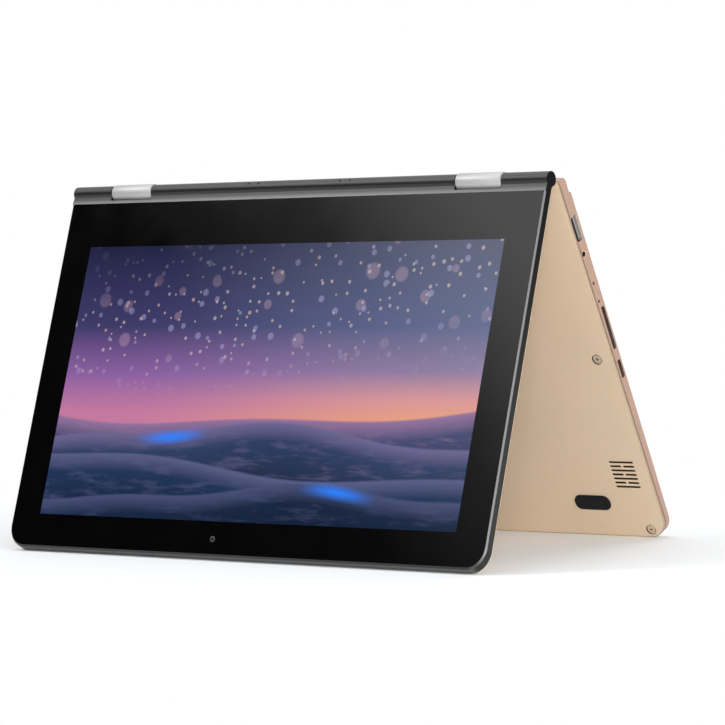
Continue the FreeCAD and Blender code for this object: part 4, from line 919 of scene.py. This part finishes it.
def paint_all():
    """Every CAD node's material."""
    paint(champagne_look("top_case_finish", DECK_FRAME, CHAMPAGNE_WALL_SHADE, DECK_EDGE_FROM), "top_case")
    # The bottom cover's walls take the rounded edges' painted shade
    paint(champagne_look("bottom_finish", BOTTOM_FRAME, CHAMPAGNE_ROUND_SHADE), "bottom_cover")
    paint(champagne_look("lid_back_finish", LID_FRAME), "lid_back_cover")
    paint(lid_frame_look(), "display_frame")
    paint(glass_look(), "cover_glass")
    steel = brushed_look("bare_steel", ROW_FRAME, linear(150, 150, 152))
    paint(steel, "left_base_hinge_arm", "right_base_hinge_arm", "left_lid_hinge_arm", "right_lid_hinge_arm",
          "hinge_link_plates", "hinge_friction_washers")
    paint(usb_look(), "left_usb_socket", "right_usb_socket")
    paint(brushed_look("socket_shell", ROW_FRAME, linear(176, 176, 178), (1.0, 0.1, 0.1)), "video_socket",
          "card_socket")
    paint(inlet_look(), "power_inlet")
    coating = moulded_look("keyboard_coating", DECK_FRAME, linear(26, 26, 27))
    paint(coating, "keyboard_plate", "touchpad_tray")
    paint(moulded_look("dark_plastic", ROW_FRAME, linear(40, 38, 37)), "audio_socket", "camera_module",
          "microphones", "left_speaker", "right_speaker")
    paint(moulded_look("light_pipe", ROW_FRAME, linear(58, 46, 40), 3.0, (0.2, 0.3)), "indicator_lights")
    board = board_look("solder_mask", DECK_FRAME, linear(28, 92, 66))
    paint(board, "mainboard", "button_board", "wireless_card")
    paint(moulded_look("chip_package", DECK_FRAME, linear(70, 72, 74)), "processor")
    paint(brushed_look("copper_sheet", DECK_FRAME, linear(198, 140, 104)), "heat_spreader")
    paint(moulded_look("battery_wrap", DECK_FRAME, linear(48, 48, 52), 2.0, (0.35, 0.5)), "battery_cells")
    paint(moulded_look("panel_back", LID_FRAME, linear(120, 122, 126), 2.0, (0.3, 0.45)), "display_panel")


# Camera at the photograph's viewing angle: degrees, millimetres, and pixels for the lens
VIEW_AZIMUTH = 38.675
VIEW_ELEVATION = 3.583
VIEW_ROLL = -2.447
VIEW_DISTANCE = 1676.5
VIEW_ASIDE = 17.01
VIEW_HEIGHT = 86.48
LENS_PIXELS = 3500.0
IMAGE_PIXELS = 725.0
SENSOR = 36.0
CAMERA_REACH = 50.0


def camera_matrix():
    """Where the camera stands and how it is turned, in the row frame."""
    azimuth, elevation, roll = (math.radians(angle) for angle in (VIEW_AZIMUTH, VIEW_ELEVATION, VIEW_ROLL))
    back = Vector((math.sin(azimuth) * math.cos(elevation), -math.cos(azimuth) * math.cos(elevation),
                   math.sin(elevation)))
    level = Vector((math.cos(azimuth), math.sin(azimuth), 0))
    rise = back.cross(level)
    right = level * math.cos(roll) + rise * math.sin(roll)
    up = rise * math.cos(roll) - level * math.sin(roll)
    spot = (level * VIEW_ASIDE + Vector((0, 0, VIEW_HEIGHT)) + back * VIEW_DISTANCE) * MM
    turn = Matrix((right, up, back)).transposed().to_4x4()
    return Matrix.Translation(spot) @ turn


CAMERA_SPOT = camera_matrix().to_translation()


def make_camera():
    """The camera that sees the object as the photograph does."""
    camera = bpy.data.cameras.new("photo_camera")
    camera.sensor_width = SENSOR
    camera.sensor_fit = "HORIZONTAL"
    camera.lens = LENS_PIXELS / IMAGE_PIXELS * SENSOR
    camera.clip_end = CAMERA_REACH
    holder = bpy.data.objects.new("photo_camera", camera)
    holder.matrix_world = camera_matrix()
    bpy.context.scene.collection.objects.link(holder)
    bpy.context.scene.camera = holder


# Studio: white floor and surroundings, soft lamps, and the cards that the glass and the lid's side mirror
FLOOR_SIZE = 12.0
FLOOR_COLOUR = (0.855, 0.875, 0.895, 1.0)
FLOOR_FADE = (0.17, 0.4)
WORLD_LIGHT = 0.42
WORLD_SEEN = 1.0
CARD_DISTANCE = 1.2
CARD_SIZE = 2.4
CARD_STRENGTH = 1.6
CARD_STEPS = [(0.0, 0.0), (0.4, 0.01), (0.7, 0.2), (1.0, 1.0)]
FLAG_PLACE = (0.75, 0.85, 0.52)
FLAG_SIZE = (1.9, 1.0)

# Places on the glass whose reflections set the card, in the lid frame's millimetres
LID_MIDDLE = 95.0
CARD_DARK = (-90.0, 150.0)
CARD_PALE = (110.0, 10.0)

# Lamps: name, place, aim, size and power
LAMPS = [
    ("top_lamp", (-0.3, 0.2, 2.2), (0, 0, 0.1), (2.0, 2.0), 19),
    ("spine_lamp", (-0.95, -0.58, 1.0), (-0.05, 0, 0.17), (0.35, 0.35), 7),
    ("side_lamp", (1.05, -0.86, 0.16), (0.08, 0, 0.08), (0.8, 0.3), 16.5),
    ("inner_lamp", (1.25, -0.2, 0.75), (0.1, 0, 0.05), (0.8, 0.6), 6.5),
    ("rear_lamp", (0.3, 2.0, 1.2), (0, 0, 0.1), (1.8, 1.2), 10),
]


def seen_rays(tree):
    """Socket that is one for rays from the camera, in reflections and through glass."""
    path = tree.nodes.new("ShaderNodeLightPath")
    seen = path.outputs["Is Camera Ray"]
    for kind in ("Is Glossy Ray", "Is Transmission Ray"):
        either = tree.nodes.new("ShaderNodeMath")
        either.operation = "MAXIMUM"
        tree.links.new(seen, either.inputs[0])
        tree.links.new(path.outputs[kind], either.inputs[1])
        seen = either.outputs[0]
    return seen


def show_in_mirrors_only(card):
    """Lets a card be seen in reflections, without taking or giving any other light."""
    card.visible_camera = False
    card.visible_diffuse = False
    card.visible_shadow = False
    card.visible_transmission = False


def make_floor():
    """Pale floor that keeps the shadow close to the object and turns plain white further off."""
    bpy.ops.mesh.primitive_plane_add(size=FLOOR_SIZE, location=(0, 0, 0))
    floor = bpy.context.object
    floor.name = "studio_floor"
    look = Look("studio_floor")
    look.set(Base_Color=FLOOR_COLOUR, Roughness=0.9, Specular_IOR_Level=0.1)
    white = look.add("ShaderNodeEmission")
    distance = look.add("ShaderNodeVectorMath", operation="LENGTH")
    look.feed(distance.inputs[0], look.add("ShaderNodeTexCoord").outputs["Object"])
    far = look.spread(distance.outputs["Value"], *FLOOR_FADE, smooth=True)
    mix = look.add("ShaderNodeMixShader")
    look.feed(mix.inputs[0], look.math("MULTIPLY", far, seen_rays(look.tree)))
    look.feed(mix.inputs[1], look.shader.outputs[0])
    look.feed(mix.inputs[2], white.outputs[0])
    look.feed(look.tree.nodes["Material Output"].inputs["Surface"], mix.outputs[0])
    floor.data.materials.append(look.material)


def make_world():
    """Even white surroundings, seen as pure white by the camera and in reflections."""
    world = bpy.data.worlds.new("studio")
    bpy.context.scene.world = world
    world.use_nodes = True
    tree = world.node_tree
    background = tree.nodes["Background"]
    background.inputs["Color"].default_value = grey(1.0)
    strength = tree.nodes.new("ShaderNodeMapRange")
    tree.links.new(seen_rays(tree), strength.inputs["Value"])
    strength.inputs["To Min"].default_value = WORLD_LIGHT
    strength.inputs["To Max"].default_value = WORLD_SEEN
    tree.links.new(strength.outputs[0], background.inputs["Strength"])


def make_lamp(name, place, aim, size, power):
    """Soft rectangular lamp, aimed at a point."""
    lamp = bpy.data.lights.new(name, "AREA")
    lamp.shape = "RECTANGLE"
    lamp.size, lamp.size_y = size
    lamp.energy = power
    holder = bpy.data.objects.new(name, lamp)
    holder.location = place
    holder.rotation_euler = (Vector(aim) - Vector(place)).to_track_quat("-Z", "Y").to_euler()
    bpy.context.scene.collection.objects.link(holder)


def mirrored(across, along):
    """Start and direction of the camera's ray after it bounces off a place on the glass."""
    spot = LID_FRAME @ Vector((across, along, -SCREEN_DEPTH))
    seen = (CAMERA_SPOT - spot).normalized()
    bounce = 2 * GLASS_NORMAL.dot(seen) * GLASS_NORMAL - seen
    return spot, bounce


def make_card():
    """Graded card that the glass mirrors: black at one corner of the glass and pale at the other."""
    spot, bounce = mirrored(0, LID_MIDDLE)
    centre = spot + bounce * CARD_DISTANCE

    def hit(across, along):
        """Where that ray meets the card."""
        start, ray = mirrored(across, along)
        return start + ray * ((centre - start).dot(bounce) / ray.dot(bounce))

    dark = hit(*CARD_DARK)
    pale = hit(*CARD_PALE)
    slant = (pale - dark) / (pale - dark).length_squared
    bpy.ops.mesh.primitive_plane_add(size=CARD_SIZE, location=centre)
    card = bpy.context.object
    card.name = "reflection_card"
    card.rotation_euler = (-bounce).to_track_quat("Z", "Y").to_euler()
    look = Look("reflection_card")
    share = look.add("ShaderNodeVectorMath", operation="DOT_PRODUCT")
    look.feed(share.inputs[0], look.add("ShaderNodeNewGeometry").outputs["Position"])
    share.inputs[1].default_value = slant
    along = look.math("SUBTRACT", share.outputs["Value"], dark.dot(slant))
    glow = look.ramp(along, [(place, grey(level)) for place, level in CARD_STEPS])
    look.set(Base_Color=grey(0.0), Specular_IOR_Level=0.0)
    look.set(Emission_Color=glow, Emission_Strength=CARD_STRENGTH)
    card.data.materials.append(look.material)
    show_in_mirrors_only(card)


def make_flag():
    """Black card beside the object, which the lid's side mirrors so that it stays dark."""
    bpy.ops.mesh.primitive_plane_add(size=1.0, location=FLAG_PLACE)
    flag = bpy.context.object
    flag.name = "black_flag"
    flag.scale = (*FLAG_SIZE, 1.0)
    away = Vector(FLAG_PLACE) - Vector((0, 0, FLAG_PLACE[2]))
    flag.rotation_euler = (math.pi / 2, 0, math.atan2(away.y, away.x) - math.pi / 2)
    look = Look("black_flag")
    look.set(Base_Color=grey(0.002), Specular_IOR_Level=0.0, Roughness=0.9)
    flag.data.materials.append(look.material)
    show_in_mirrors_only(flag)


def make_studio():
    """Everything round the object, and the camera."""
    bpy.context.scene.view_settings.view_transform = "Standard"
    make_floor()
    make_world()
    for lamp in LAMPS:
        make_lamp(*lamp)
    make_camera()
    make_card()
    make_flag()


paint_all()
make_keys()
make_screws()
make_hinge_covers()
make_feet()
make_side_buttons()
make_touchpad()
make_camera_lens()
make_studio()
